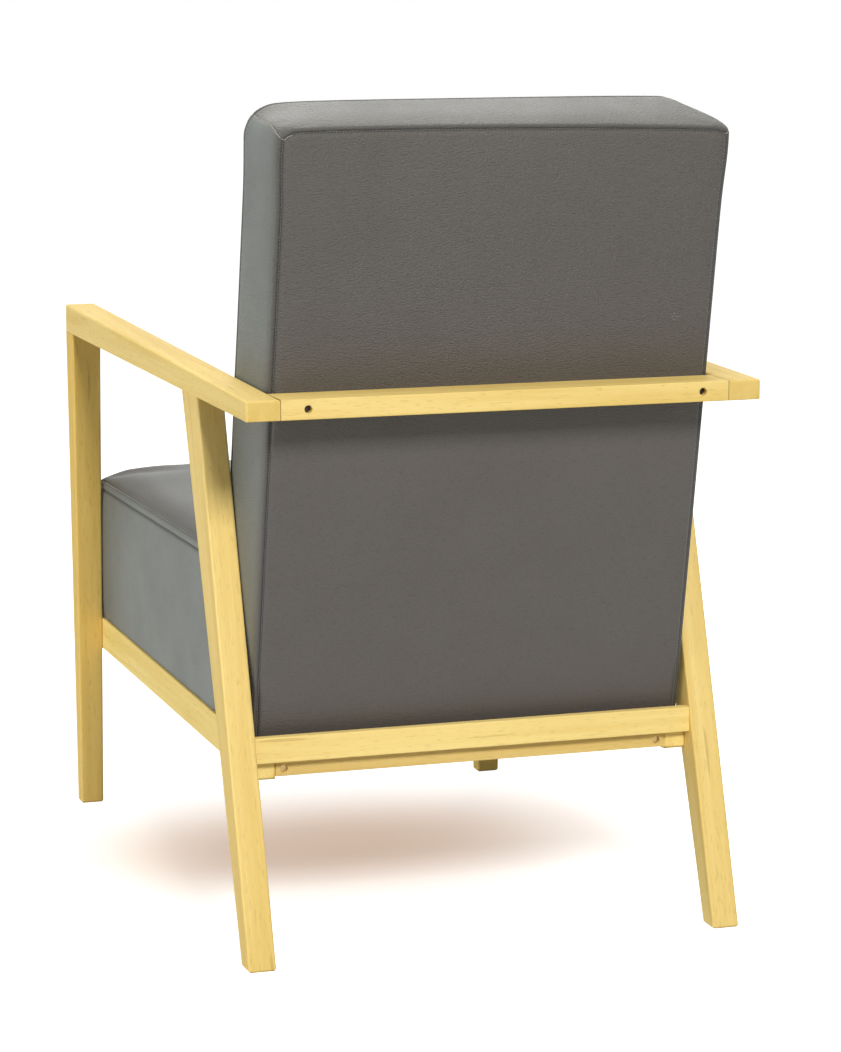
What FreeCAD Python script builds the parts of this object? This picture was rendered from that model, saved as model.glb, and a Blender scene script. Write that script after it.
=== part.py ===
"""Lounge chair: two beech side frames, a rail frame, a boxed seat unit and a boxed back unit.

Millimetres. +Z is up, the front of the chair faces -Y, +X is the sitter's left.
The origin is on the floor, in the middle of the chair's plan.
"""
import FreeCAD, Part
import math
import os

from FreeCAD import Vector

# Armrests: bars that taper from front to rear
HALF_WIDTH = 290.5
ARM_WIDTH = 37.0
ARM_FRONT_Y = -412.0
ARM_REAR_Y = 418.0
ARM_FRONT_TOP = 640.0
ARM_REAR_TOP = 622.0
ARM_FRONT_THICK = 34.0
ARM_REAR_THICK = 22.0

# Legs: both pairs taper towards the floor, the rear pair rakes backwards
LEG_INNER_X = 254.5
FRONT_LEG_HEEL_Y = -376.0
FRONT_FOOT_TOE_Y = -418.0
FRONT_FOOT_HEEL_Y = -397.0
FRONT_FOOT_OUTER_X = 283.0
REAR_LEG_OUTER_X = 285.5
REAR_LEG_TOP_Y = (135.0, 200.0)
REAR_FOOT_Y = (364.0, 394.0)

# Wood finish: rounded long edges, bevelled feet
EDGE_RADIUS = 2.5
EASED_EDGE = 1.0
FOOT_BEVEL = 2.0
RAIL_END_BEVEL = 2.5

# Seat rails
RAIL_THICK = 26.0
RAIL_HEIGHT = 39.0
SIDE_RAIL_FRONT_TOP = 241.7
SIDE_RAIL_REAR_TOP = 228.2
SIDE_RAIL_REAR_Y = 305.0
FRONT_RAIL_Y = (-412.0, -390.0)
REAR_MEMBER_THICK = 20.0
REAR_MEMBER_BOTTOM = 192.5
REAR_RAIL_THICK = 11.0
REAR_RAIL_BOTTOM = 210.0
REAR_RAIL_TOP = 238.5
BLOCK_LEG = 46.0
BLOCK_HEIGHT = 28.0

# Back unit, drawn upright and then leaned about its lower rear edge
BACK_LEAN = 10.8
BACK_PIVOT_Y = 290.0
BACK_PIVOT_Z = 225.0
BACK_HALF_WIDTH = 246.0
BACK_ROLL = 6.0
BACK_HEIGHT = 682.0
BACK_TOP_CROWN = 9.0
BACK_THICK = 147.0
BACK_FRONT_CROWN = 3.0
BACK_LUMBAR = 8.0
BACK_CORNER = 18.0
BACK_FRONT_SEAM = 128.0
STILE_X = (206.0, 239.0)
BACK_FRAME_THICK = 26.0
BACK_RAIL_HEIGHT = 55.0
BACK_FRAME_TOP = 655.0

# Seat unit
SEAT_HALF_WIDTH = 249.5
SEAT_FRONT_Y = -409.0
SEAT_EDGE = 417.0
SEAT_SEAM = 406.0
SEAT_CROWN = 24.0
SEAT_SHOULDER = 44.0
SHOULDER_TURN = 0.48
SHOULDER_RISE = 0.8
SEAT_CORNER = 14.0
SEAT_SIDE_BULGE = 2.5
SEAT_FRONT_BULGE = 4.0
SEAT_BACK_GAP = 2.5
BOARD_THICK = 22.0
BOARD_TOP = 300.0
BOARD_OUTER_X = 244.0
BOARD_FRONT_Y = -401.0
BOARD_REAR_Y = 128.0

# Soft goods
COVER = 3.0
STRAP_WIDTH = 55.0
STRAP_THICK = 2.0
SEAT_STRAPS = 6
BACK_STRAPS = 6
DUST_COVER = 1.0

# Dowels and screws
DOWEL_FIT = 0.1
ARM_DOWEL = (5.0, 44.0)
RAIL_DOWEL = (4.0, 40.0)
SMALL_DOWEL = (3.0, 30.0)
ARM_DOWEL_RISE = 15.0
ARM_DOWEL_SPREAD = 8.0
REAR_ARM_DOWEL_Y = (160.0, 186.0)
UPPER_DOWEL_Y = (380.0, 404.0)
FRONT_DOWEL_Z = (213.0, 230.0)
MEMBER_DOWEL_Z = (212.5, 222.5)
REAR_DOWEL_Z = (217.0, 231.0)
SCREW_RADIUS = 2.5
HEAD_RADIUS = 4.2
HEAD_HEIGHT = 4.0
HEAD_SINK = 8.0
UNIT_SCREW_X = 234.5
UNIT_SCREW_Y = (-320.0, 60.0, 268.0)
UNIT_SCREW_LENGTH = 62.0
BACK_SCREW_X = 223.0
BACK_SCREW_LENGTH = 65.0
BLOCK_SCREW_X = 219.0
BLOCK_SCREW_Z = 200.5
BLOCK_SCREW_LENGTH = 40.0
BOLT_LENGTH = 46.0
BOLT_Y = 296.0
BOLT_Z = 200.5
RAIL_SCREW_LENGTH = 22.0
RAIL_SCREW_X = (-130.0, 0.0, 130.0)
RAIL_SCREW_Z = 219.0

FAR = 1000.0
EVERYWHERE = (-FAR, FAR)
LEAN = math.radians(BACK_LEAN)
ARM_INNER_X = HALF_WIDTH - ARM_WIDTH
RAIL_INNER_X = LEG_INNER_X - RAIL_THICK
REAR_MEMBER_Y = (SIDE_RAIL_REAR_Y - REAR_MEMBER_THICK, SIDE_RAIL_REAR_Y)
REAR_RAIL_Y = (SIDE_RAIL_REAR_Y, SIDE_RAIL_REAR_Y + REAR_RAIL_THICK)
UPPER_RAIL_Z = (ARM_REAR_TOP - ARM_REAR_THICK, ARM_REAR_TOP)
UPPER_RAIL_MID = sum(UPPER_RAIL_Z) / 2
FRONT_RAIL_MID = SIDE_RAIL_FRONT_TOP - RAIL_HEIGHT / 2


def between(start, end, share):
    """Value at a share of the way from start to end."""
    return start + (end - start) * share


def arm_share(y):
    return (y - ARM_FRONT_Y) / (ARM_REAR_Y - ARM_FRONT_Y)


def arm_top(y):
    return between(ARM_FRONT_TOP, ARM_REAR_TOP, arm_share(y))


def arm_under(y):
    return arm_top(y) - between(ARM_FRONT_THICK, ARM_REAR_THICK, arm_share(y))


def rail_top(y):
    """Height of the sloping plane that the seat and back units stand on."""
    share = (y - ARM_FRONT_Y) / (SIDE_RAIL_REAR_Y - ARM_FRONT_Y)
    return between(SIDE_RAIL_FRONT_TOP, SIDE_RAIL_REAR_TOP, share)


def back_plane(z):
    """Y of the back unit's rear face at a height."""
    return BACK_PIVOT_Y + (z - BACK_PIVOT_Z) * math.tan(LEAN)


def box(x, y, z):
    """Block between the low and high of each axis."""
    corner = Vector(x[0], y[0], z[0])
    return Part.makeBox(x[1] - x[0], y[1] - y[0], z[1] - z[0], corner)


def face_of(edges):
    return Part.Face(Part.Wire(edges))


def prism_x(points, x):
    """Outline of (y, z) points drawn out between two x."""
    outline = Part.makePolygon([Vector(x[0], y, z) for y, z in points + points[:1]])
    return Part.Face(outline).extrude(Vector(x[1] - x[0], 0, 0))


def prism_y(points, y):
    """Outline of (x, z) points drawn out between two y."""
    outline = Part.makePolygon([Vector(x, y[0], z) for x, z in points + points[:1]])
    return Part.Face(outline).extrude(Vector(0, y[1] - y[0], 0))


def prism_z(points, z):
    """Outline of (x, y) points drawn out between two z."""
    outline = Part.makePolygon([Vector(x, y, z[0]) for x, y in points + points[:1]])
    return Part.Face(outline).extrude(Vector(0, 0, z[1] - z[0]))


def rod(start, axis, radius, length):
    return Part.makeCylinder(radius, length, Vector(*start), Vector(*axis))


def mirrored(shape):
    return shape.mirror(Vector(0, 0, 0), Vector(1, 0, 0))


def pair(shapes):
    """The shapes and their mirror images."""
    return shapes + [mirrored(shape) for shape in shapes]


def line(start, end):
    return Part.LineSegment(start, end).toShape()


def arc(start, middle, end):
    return Part.Arc(start, middle, end).toShape()


def leaned(shape):
    """Stand an upright back piece at its slope in the chair."""
    turned = shape.copy()
    turned.rotate(Vector(0, 0, 0), Vector(1, 0, 0), -BACK_LEAN)
    turned.translate(Vector(0, BACK_PIVOT_Y, BACK_PIVOT_Z))
    return turned


def softened(shape, radius, chosen):
    """Round the edges that the test picks."""
    edges = [edge for edge in shape.Edges if chosen(edge)]
    return shape.makeFillet(radius, edges)


def drilled(shape, rods):
    """Cut each rod out with the fit's clearance round it."""
    for start, axis, (radius, length) in rods:
        shape = shape.cut(rod(start, axis, radius + DOWEL_FIT, length))
    return shape


def rods_of(rods):
    return [rod(start, axis, radius, length) for start, axis, (radius, length) in rods]


def screw(start, axis, length):
    """Pan head on a plain shank, the head's outer face at the start."""
    inward = Vector(*axis).normalize()
    base = Vector(*start)
    head = Part.makeCylinder(HEAD_RADIUS, HEAD_HEIGHT, base, inward)
    shank = Part.makeCylinder(SCREW_RADIUS, length - HEAD_HEIGHT, base + inward * HEAD_HEIGHT, inward)
    return head.fuse(shank).removeSplitter()


def screws_of(places):
    return [screw(start, axis, length) for start, axis, length in places]


def screw_hole(start, axis, length, sink):
    """Clearance for a screw whose head is sunk below the surface."""
    inward = Vector(*axis).normalize()
    base = Vector(*start)
    mouth = Part.makeCylinder(HEAD_RADIUS + DOWEL_FIT, HEAD_HEIGHT + sink, base - inward * sink, inward)
    bore = Part.makeCylinder(SCREW_RADIUS + DOWEL_FIT, length, base, inward)
    return mouth.fuse(bore)


def save(name, solids):
    shape = solids[0] if len(solids) == 1 else Part.makeCompound(solids)
    shape.exportStep("parts/" + name + ".step")


def save_sides(name, shape):
    """A left piece and its mirrored right piece."""
    save("left_" + name, [shape])
    save("right_" + name, [mirrored(shape)])


# Places of the dowels, screws and bolts, on the left side where there is a pair

def arm_dowels():
    mid_x = (LEG_INNER_X + HALF_WIDTH) / 2
    front_y = (ARM_FRONT_Y + FRONT_LEG_HEEL_Y) / 2
    spots = [(mid_x - ARM_DOWEL_SPREAD, front_y), (mid_x + ARM_DOWEL_SPREAD, front_y)]
    spots += [((LEG_INNER_X + REAR_LEG_OUTER_X) / 2, y) for y in REAR_ARM_DOWEL_Y]
    drop = ARM_DOWEL_RISE - ARM_DOWEL[1]
    return [((x, y, arm_under(y) + drop), (0, 0, 1), ARM_DOWEL) for x, y in spots]


def upper_rail_dowels():
    start_x = ARM_INNER_X - RAIL_DOWEL[1] / 2
    return [((start_x, y, UPPER_RAIL_MID), (1, 0, 0), RAIL_DOWEL) for y in UPPER_DOWEL_Y]


def seat_rail_dowels():
    """Front rail to the legs, rear member to the side rails, side rails to the front rail."""
    half = RAIL_DOWEL[1] / 2
    leg_spots = [(LEG_INNER_X - half, sum(FRONT_RAIL_Y) / 2, z) for z in FRONT_DOWEL_Z]
    member_spots = [(RAIL_INNER_X - half, sum(REAR_MEMBER_Y) / 2, z) for z in MEMBER_DOWEL_Z]
    dowels = [(spot, (1, 0, 0), RAIL_DOWEL) for spot in leg_spots + member_spots]
    side_spot = (RAIL_INNER_X + RAIL_THICK / 2, FRONT_RAIL_Y[1] - half, FRONT_RAIL_MID)
    return dowels + [(side_spot, (0, 1, 0), RAIL_DOWEL)]


def rear_rail_dowels():
    start_x = LEG_INNER_X - SMALL_DOWEL[1] / 2
    mid_y = sum(REAR_RAIL_Y) / 2
    return [((start_x, mid_y, z), (1, 0, 0), SMALL_DOWEL) for z in REAR_DOWEL_Z]


def side_rail_bolts():
    """Head in the inner face of the side rail, shank in the rear leg."""
    return [((RAIL_INNER_X, BOLT_Y, BOLT_Z), (1, 0, 0), BOLT_LENGTH)]


def unit_screws():
    """Up through the side rails: two hold the seat unit, one the back unit."""
    screws = []
    for y in UNIT_SCREW_Y:
        start_z = rail_top(y) - RAIL_HEIGHT + HEAD_SINK
        screws.append(((UNIT_SCREW_X, y, start_z), (0, 0, 1), UNIT_SCREW_LENGTH))
    return screws


def back_screws():
    """Through the upper rail into the stiles of the back unit."""
    return [((BACK_SCREW_X, ARM_REAR_Y - HEAD_SINK, UPPER_RAIL_MID), (0, -1, 0), BACK_SCREW_LENGTH)]


def rear_block_screws():
    start = (BLOCK_SCREW_X, SIDE_RAIL_REAR_Y - HEAD_HEIGHT, BLOCK_SCREW_Z)
    return [(start, (0, -1, 0), BLOCK_SCREW_LENGTH)]


def front_block_screws():
    """From the sloping face of each front block into the front rail."""
    slope_y = FRONT_RAIL_Y[1] + BLOCK_LEG - (RAIL_INNER_X - BLOCK_SCREW_X)
    start = (BLOCK_SCREW_X, slope_y - HEAD_SINK, FRONT_RAIL_MID)
    return [(start, (0, -1, 0), BLOCK_SCREW_LENGTH)]


def rear_rail_screws():
    """From inside the rear member into the visible rear rail."""
    start_y = REAR_MEMBER_Y[0] + HEAD_SINK
    return [((x, start_y, RAIL_SCREW_Z), (0, 1, 0), RAIL_SCREW_LENGTH) for x in RAIL_SCREW_X]


def bored(shape, screws, sink):
    """Cut the clearance holes of the screws, here and on the mirrored side."""
    for start, axis, length in screws:
        hole = screw_hole(start, axis, length, sink)
        shape = shape.cut(hole).cut(mirrored(hole))
    return shape


# Side frames

def armrest():
    outline = [(ARM_FRONT_Y, arm_under(ARM_FRONT_Y)), (ARM_REAR_Y, arm_under(ARM_REAR_Y)),
               (ARM_REAR_Y, ARM_REAR_TOP), (ARM_FRONT_Y, ARM_FRONT_TOP)]
    bar = prism_x(outline, (ARM_INNER_X, HALF_WIDTH))

    def at_joint(middle):
        """The corner that stays square where the upper rail meets the arm."""
        return middle.y > ARM_REAR_Y - EASED_EDGE and middle.x < ARM_INNER_X + EASED_EDGE

    def upper(edge):
        middle = edge.CenterOfMass
        return middle.z > arm_under(middle.y) + EDGE_RADIUS and not at_joint(middle)

    def lower(edge):
        middle = edge.CenterOfMass
        return middle.z < arm_under(middle.y) + EASED_EDGE and not at_joint(middle)

    bar = softened(bar, EDGE_RADIUS, upper)
    bar = softened(bar, EASED_EDGE, lower)
    return drilled(bar, arm_dowels() + upper_rail_dowels())


def lengthwise(edge):
    """Edges that run along a leg."""
    return abs(edge.Vertexes[0].Z - edge.Vertexes[-1].Z) > RAIL_HEIGHT


def at_floor(edge):
    return max(vertex.Z for vertex in edge.Vertexes) < EASED_EDGE


def finished_leg(leg):
    leg = softened(leg, EDGE_RADIUS, lengthwise)
    leg = leg.makeChamfer(FOOT_BEVEL, [edge for edge in leg.Edges if at_floor(edge)])
    leg = drilled(leg, arm_dowels() + rear_rail_dowels() + seat_rail_dowels())
    return bored(leg, side_rail_bolts(), 0.0)


def front_leg():
    side = [(FRONT_FOOT_TOE_Y, 0.0), (FRONT_FOOT_HEEL_Y, 0.0),
            (FRONT_LEG_HEEL_Y, arm_under(FRONT_LEG_HEEL_Y)), (ARM_FRONT_Y, arm_under(ARM_FRONT_Y))]
    top = arm_under(ARM_FRONT_Y)
    front = [(LEG_INNER_X, 0.0), (FRONT_FOOT_OUTER_X, 0.0), (HALF_WIDTH, top), (LEG_INNER_X, top)]
    depth = (FRONT_FOOT_TOE_Y, FRONT_LEG_HEEL_Y)
    return finished_leg(prism_x(side, (LEG_INNER_X, HALF_WIDTH)).common(prism_y(front, depth)))


def rear_leg():
    side = [(y, 0.0) for y in REAR_FOOT_Y] + [(y, arm_under(y)) for y in reversed(REAR_LEG_TOP_Y)]
    return finished_leg(prism_x(side, (LEG_INNER_X, REAR_LEG_OUTER_X)))


# Rails

def upper_back_rail():
    """Flat rail between the arms, its front face sloped to lie on the back unit."""
    low, high = UPPER_RAIL_Z
    outline = [(ARM_REAR_Y, low), (ARM_REAR_Y, high), (back_plane(high), high), (back_plane(low), low)]
    rail = prism_x(outline, (-ARM_INNER_X, ARM_INNER_X))

    def rear_edge(edge):
        along_x = edge.BoundBox.XLength > ARM_INNER_X
        return along_x and edge.CenterOfMass.y > ARM_REAR_Y - EASED_EDGE

    rail = softened(rail, EASED_EDGE, rear_edge)
    rail = drilled_ends(rail, upper_rail_dowels())
    return bored(rail, back_screws(), HEAD_SINK + EASED_EDGE)


def side_rail():
    ends = (FRONT_RAIL_Y[1], SIDE_RAIL_REAR_Y)
    outline = [(y, rail_top(y) - RAIL_HEIGHT) for y in ends] + [(y, rail_top(y)) for y in reversed(ends)]
    rail = prism_x(outline, (RAIL_INNER_X, LEG_INNER_X))
    rail = softened(rail, EASED_EDGE, lambda edge: edge.BoundBox.YLength > RAIL_HEIGHT)

    def rear_end(edge):
        """Underside and outer edges of the end that shows at the rear."""
        middle = edge.CenterOfMass
        low = middle.z < REAR_MEMBER_BOTTOM
        outer = middle.x > LEG_INNER_X - EASED_EDGE
        return middle.y > SIDE_RAIL_REAR_Y - EASED_EDGE and (low or outer)

    rail = rail.makeChamfer(RAIL_END_BEVEL, [edge for edge in rail.Edges if rear_end(edge)])
    rail = drilled(rail, seat_rail_dowels())
    rail = bored(rail, side_rail_bolts(), 0.0)
    return bored(rail, unit_screws(), HEAD_SINK + EASED_EDGE)


def drilled_ends(rail, dowels):
    """Dowel holes in both halves of a rail that crosses the chair."""
    return mirrored(drilled(mirrored(drilled(rail, dowels)), dowels))


def front_seat_rail():
    """Rail between the front legs, under the front of the seat."""
    top = rail_top(FRONT_RAIL_Y[1])
    rail = box((-LEG_INNER_X, LEG_INNER_X), FRONT_RAIL_Y, (top - RAIL_HEIGHT, top))

    def front_edge(edge):
        return edge.BoundBox.XLength > LEG_INNER_X and edge.CenterOfMass.y < sum(FRONT_RAIL_Y) / 2

    rail = drilled_ends(softened(rail, EASED_EDGE, front_edge), seat_rail_dowels())
    return bored(rail, front_block_screws(), 0.0)


def rear_member():
    """Rail between the side rails that the back unit stands against."""
    height = (REAR_MEMBER_BOTTOM, rail_top(SIDE_RAIL_REAR_Y))
    rail = box((-RAIL_INNER_X, RAIL_INNER_X), REAR_MEMBER_Y, height)
    rail = drilled_ends(rail, seat_rail_dowels())
    rail = bored(rail, rear_block_screws(), HEAD_HEIGHT)
    return bored(rail, rear_rail_screws(), HEAD_SINK)


def rear_seat_rail():
    rail = box((-LEG_INNER_X, LEG_INNER_X), REAR_RAIL_Y, (REAR_RAIL_BOTTOM, REAR_RAIL_TOP))

    def rear_edge(edge):
        return edge.BoundBox.XLength > LEG_INNER_X and edge.CenterOfMass.y > sum(REAR_RAIL_Y) / 2

    rail = softened(rail, EASED_EDGE, rear_edge)
    rail = drilled_ends(rail, rear_rail_dowels())
    return bored(rail, rear_rail_screws(), HEAD_SINK)


def corner_block(rail_face_y, inward, screws, mid_z):
    """Three-cornered block in the angle of a side rail and a cross member."""
    corner = (RAIL_INNER_X, rail_face_y)
    along_cross = (RAIL_INNER_X - BLOCK_LEG, rail_face_y)
    along_side = (RAIL_INNER_X, rail_face_y + inward * BLOCK_LEG)
    height = (mid_z - BLOCK_HEIGHT / 2, mid_z + BLOCK_HEIGHT / 2)
    return bored(prism_z([corner, along_cross, along_side], height), screws, HEAD_SINK)


# Back unit, upright

def back_section(height, inset, lumbar):
    """Level outline: flat rear, sides that roll out from the seam, rounded and crowned front."""
    rear = -COVER if inset else 0.0
    seam = BACK_HALF_WIDTH - inset
    side = BACK_HALF_WIDTH + BACK_ROLL - inset
    front = -BACK_THICK + inset
    round_start = -BACK_THICK + BACK_CORNER
    round_end = BACK_HALF_WIDTH + BACK_ROLL - BACK_CORNER
    turn = (BACK_CORNER - inset) * math.sqrt(0.5)
    right = [Vector(seam, rear, height),
             Vector(side - BACK_ROLL / 4, rear - BACK_ROLL / 2, height),
             Vector(side, rear - 1.5 * BACK_ROLL, height),
             Vector(side, round_start, height),
             Vector(round_end + turn, round_start - turn, height),
             Vector(round_end, front, height)]
    left = [Vector(-point.x, point.y, height) for point in right]
    crown = Vector(0, front - BACK_FRONT_CROWN - lumbar, height)
    edges = [line(left[0], right[0]), arc(*right[0:3]), line(right[2], right[3]), arc(*right[3:6]),
             arc(right[5], crown, left[5]),
             arc(left[5], left[4], left[3]), line(left[3], left[2]), arc(left[2], left[1], left[0])]
    return Part.Wire(edges)


def back_top_limit(inset):
    """Side view of the back under its crowned top and rounded front edge."""
    top = BACK_HEIGHT - inset
    front = -BACK_THICK + inset
    puffed = top + BACK_ROLL
    crest = top + BACK_TOP_CROWN
    brow_y = front - BACK_FRONT_CROWN - BACK_LUMBAR - COVER
    seam = Vector(-FAR, 0, top)
    roll = Vector(-FAR, -BACK_ROLL / 2, puffed - BACK_ROLL / 4)
    rolled = Vector(-FAR, -1.5 * BACK_ROLL, puffed)
    middle = Vector(-FAR, front / 2, crest)
    shoulder = Vector(-FAR, front + BACK_CORNER, puffed)
    turn = Vector(-FAR, front + BACK_CORNER / 6, top)
    brow = Vector(-FAR, brow_y, top - BACK_CORNER)
    low_front = Vector(-FAR, brow_y, -BACK_CORNER)
    low_rear = Vector(-FAR, COVER, -BACK_CORNER)
    rear_top = Vector(-FAR, COVER, top)
    edges = [line(low_front, low_rear), line(low_rear, rear_top), line(rear_top, seam),
             arc(seam, roll, rolled), arc(rolled, middle, shoulder), arc(shoulder, turn, brow),
             line(brow, low_front)]
    return face_of(edges).extrude(Vector(2 * FAR, 0, 0))


def back_corner_limit(inset):
    """Rear view of the back with its rounded upper corners."""
    top = BACK_HEIGHT + BACK_TOP_CROWN - inset
    side = BACK_HALF_WIDTH + BACK_ROLL - inset
    right = [Vector(side, -FAR, -BACK_CORNER),
             Vector(side, -FAR, top - 1.5 * BACK_CORNER),
             Vector(side - BACK_CORNER / 3, -FAR, top - 0.75 * BACK_CORNER),
             Vector(side - 1.5 * BACK_CORNER, -FAR, top - BACK_CORNER / 3)]
    left = [Vector(-point.x, -FAR, point.z) for point in right]
    edges = [line(left[0], right[0]), line(right[0], right[1]), arc(*right[1:4]),
             arc(right[3], Vector(0, -FAR, top + COVER), left[3]),
             arc(left[3], left[2], left[1]), line(left[1], left[0])]
    return face_of(edges).extrude(Vector(0, 2 * FAR, 0))


def back_form(inset):
    """The whole back, or the space inside its cover, upright."""
    stations = [(-BACK_CORNER, 0.0), (90.0, 0.0), (200.0, 0.0), (340.0, BACK_LUMBAR),
                (520.0, BACK_LUMBAR), (BACK_HEIGHT + 2 * BACK_TOP_CROWN, 0.0)]
    sections = [back_section(height, inset, lumbar) for height, lumbar in stations]
    body = Part.makeLoft(sections, True, False)
    return body.common(back_top_limit(inset)).common(back_corner_limit(inset))


def on_rails(shape, lift):
    """Cut a unit's underside to the plane of the side rails' tops."""
    outline = [(y, -FAR) for y in EVERYWHERE] + [(y, rail_top(y) + lift) for y in reversed(EVERYWHERE)]
    return shape.cut(prism_x(outline, EVERYWHERE))


def back_cover_pieces():
    """Rear panel, front panel, side borders and top border of the back cover."""
    outer = back_form(0.0)
    inner = back_form(COVER)
    rear = outer.common(box(EVERYWHERE, (-COVER, FAR), EVERYWHERE))
    shell = outer.common(box(EVERYWHERE, (-FAR, -COVER), EVERYWHERE)).cut(inner)
    front = shell.common(box(EVERYWHERE, (-FAR, -BACK_FRONT_SEAM), EVERYWHERE))
    border = shell.common(box(EVERYWHERE, (-BACK_FRONT_SEAM, FAR), EVERYWHERE))
    mitre = BACK_HEIGHT - BACK_HALF_WIDTH
    wedge = prism_y([(0, mitre), (FAR, mitre + FAR), (-FAR, mitre + FAR)], EVERYWHERE)
    left = border.cut(wedge).common(box((0, FAR), EVERYWHERE, EVERYWHERE))
    pieces = {"back_rear_panel": rear,
              "back_front_panel": front,
              "back_top_border": border.common(wedge),
              "left_back_border": left,
              "right_back_border": mirrored(left)}
    return {name: bored(on_rails(leaned(piece), 0.0), back_screws(), 0.0)
            for name, piece in pieces.items()}


def back_frame():
    depth = (-COVER - BACK_FRAME_THICK, -COVER)
    stile = on_rails(leaned(box(STILE_X, depth, (-BACK_CORNER, BACK_FRAME_TOP))), 0.0)
    stile = bored(bored(stile, back_screws(), 0.0), unit_screws(), 0.0)
    span = (-STILE_X[0], STILE_X[0])
    top = leaned(box(span, depth, (BACK_FRAME_TOP - BACK_RAIL_HEIGHT, BACK_FRAME_TOP)))
    bottom = leaned(box(span, depth, (BACK_CORNER, BACK_CORNER + BACK_RAIL_HEIGHT)))
    return stile, top, bottom


def back_strap_depth():
    rear = -COVER - BACK_FRAME_THICK
    return (rear - STRAP_THICK, rear)


def back_webbing():
    """Straps across the front of the stiles."""
    first = BACK_CORNER + BACK_RAIL_HEIGHT + STRAP_WIDTH
    last = BACK_FRAME_TOP - BACK_RAIL_HEIGHT - STRAP_WIDTH
    straps = []
    for number in range(BACK_STRAPS):
        middle = between(first, last, number / (BACK_STRAPS - 1))
        height = (middle - STRAP_WIDTH / 2, middle + STRAP_WIDTH / 2)
        straps.append(leaned(box((-STILE_X[1], STILE_X[1]), back_strap_depth(), height)))
    return straps


def back_foam():
    """Foam that fills the cover in front of and around the frame."""
    core = box((-STILE_X[1], STILE_X[1]), (back_strap_depth()[0], FAR), (-FAR, BACK_FRAME_TOP))
    return on_rails(leaned(back_form(COVER).cut(core)), 0.0)


# Seat unit

def seat_section(y, inset, crown):
    """Upright outline across the seat: bulging sides, soft shoulders, crowned top."""
    half = SEAT_HALF_WIDTH - inset
    edge = SEAT_EDGE - inset
    low = SIDE_RAIL_REAR_TOP - RAIL_HEIGHT
    right = [Vector(half, y, low),
             Vector(half + SEAT_SIDE_BULGE, y, (low + edge) / 2),
             Vector(half, y, edge),
             Vector(half - SEAT_SHOULDER / 3, y, edge + SHOULDER_TURN * crown),
             Vector(half - SEAT_SHOULDER, y, edge + SHOULDER_RISE * crown)]
    left = [Vector(-point.x, y, point.z) for point in right]
    edges = [line(left[0], right[0]),
             arc(right[0], right[1], right[2]),
             arc(right[2], right[3], right[4]),
             arc(right[4], Vector(0, y, edge + crown), left[4]),
             arc(left[4], left[3], left[2]),
             arc(left[2], left[1], left[0])]
    return Part.Wire(edges)


def seat_front_limit(inset):
    """Side view of the seat behind its bulging front and rounded front edge."""
    front = SEAT_FRONT_Y + inset
    low = SIDE_RAIL_REAR_TOP - RAIL_HEIGHT
    edge = SEAT_EDGE - inset
    over = edge + SEAT_CROWN + EASED_EDGE
    foot = Vector(-FAR, front + SEAT_FRONT_BULGE, low)
    bulge = Vector(-FAR, front, (low + edge) / 2)
    lip = Vector(-FAR, front + SEAT_FRONT_BULGE, edge)
    turn = Vector(-FAR, lip.y + SEAT_SHOULDER / 3, edge + SHOULDER_TURN * SEAT_CROWN)
    brow = Vector(-FAR, lip.y + SEAT_SHOULDER, over)
    far_top = Vector(-FAR, FAR, over)
    far_low = Vector(-FAR, FAR, low)
    edges = [line(far_low, foot), arc(foot, bulge, lip), arc(lip, turn, brow),
             line(brow, far_top), line(far_top, far_low)]
    return face_of(edges).extrude(Vector(2 * FAR, 0, 0))


def seat_corner_limit(inset):
    """Plan of the seat with its rounded front corners."""
    front = SEAT_FRONT_Y + inset
    side = SEAT_HALF_WIDTH + SEAT_SIDE_BULGE - inset
    turn = SEAT_CORNER * (1 - math.sqrt(0.5))
    right = [Vector(side, FAR, -FAR), Vector(side, front + SEAT_CORNER, -FAR),
             Vector(side - turn, front + turn, -FAR), Vector(side - SEAT_CORNER, front, -FAR)]
    left = [Vector(-point.x, point.y, point.z) for point in right]
    edges = [line(left[0], right[0]), line(right[0], right[1]),
             arc(right[1], right[2], right[3]), line(right[3], left[3]),
             arc(left[3], left[2], left[1]), line(left[1], left[0])]
    return face_of(edges).extrude(Vector(0, 0, 2 * FAR))


def seat_form(inset):
    """The whole seat, or the space inside its cover."""
    middle = (SEAT_FRONT_Y + BACK_PIVOT_Y) / 2
    stations = [(SEAT_FRONT_Y - SEAT_CORNER, SEAT_CROWN), (middle, SEAT_CROWN),
                (BACK_PIVOT_Y + SEAT_CORNER, SHOULDER_RISE * SEAT_CROWN)]
    sections = [seat_section(y, inset, crown) for y, crown in stations]
    body = Part.makeLoft(sections, True, False)
    body = body.common(seat_front_limit(inset)).common(seat_corner_limit(inset))
    meeting = -BACK_THICK - BACK_FRONT_CROWN - SEAT_BACK_GAP - inset
    return body.cut(leaned(box(EVERYWHERE, (meeting, FAR), EVERYWHERE)))


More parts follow.
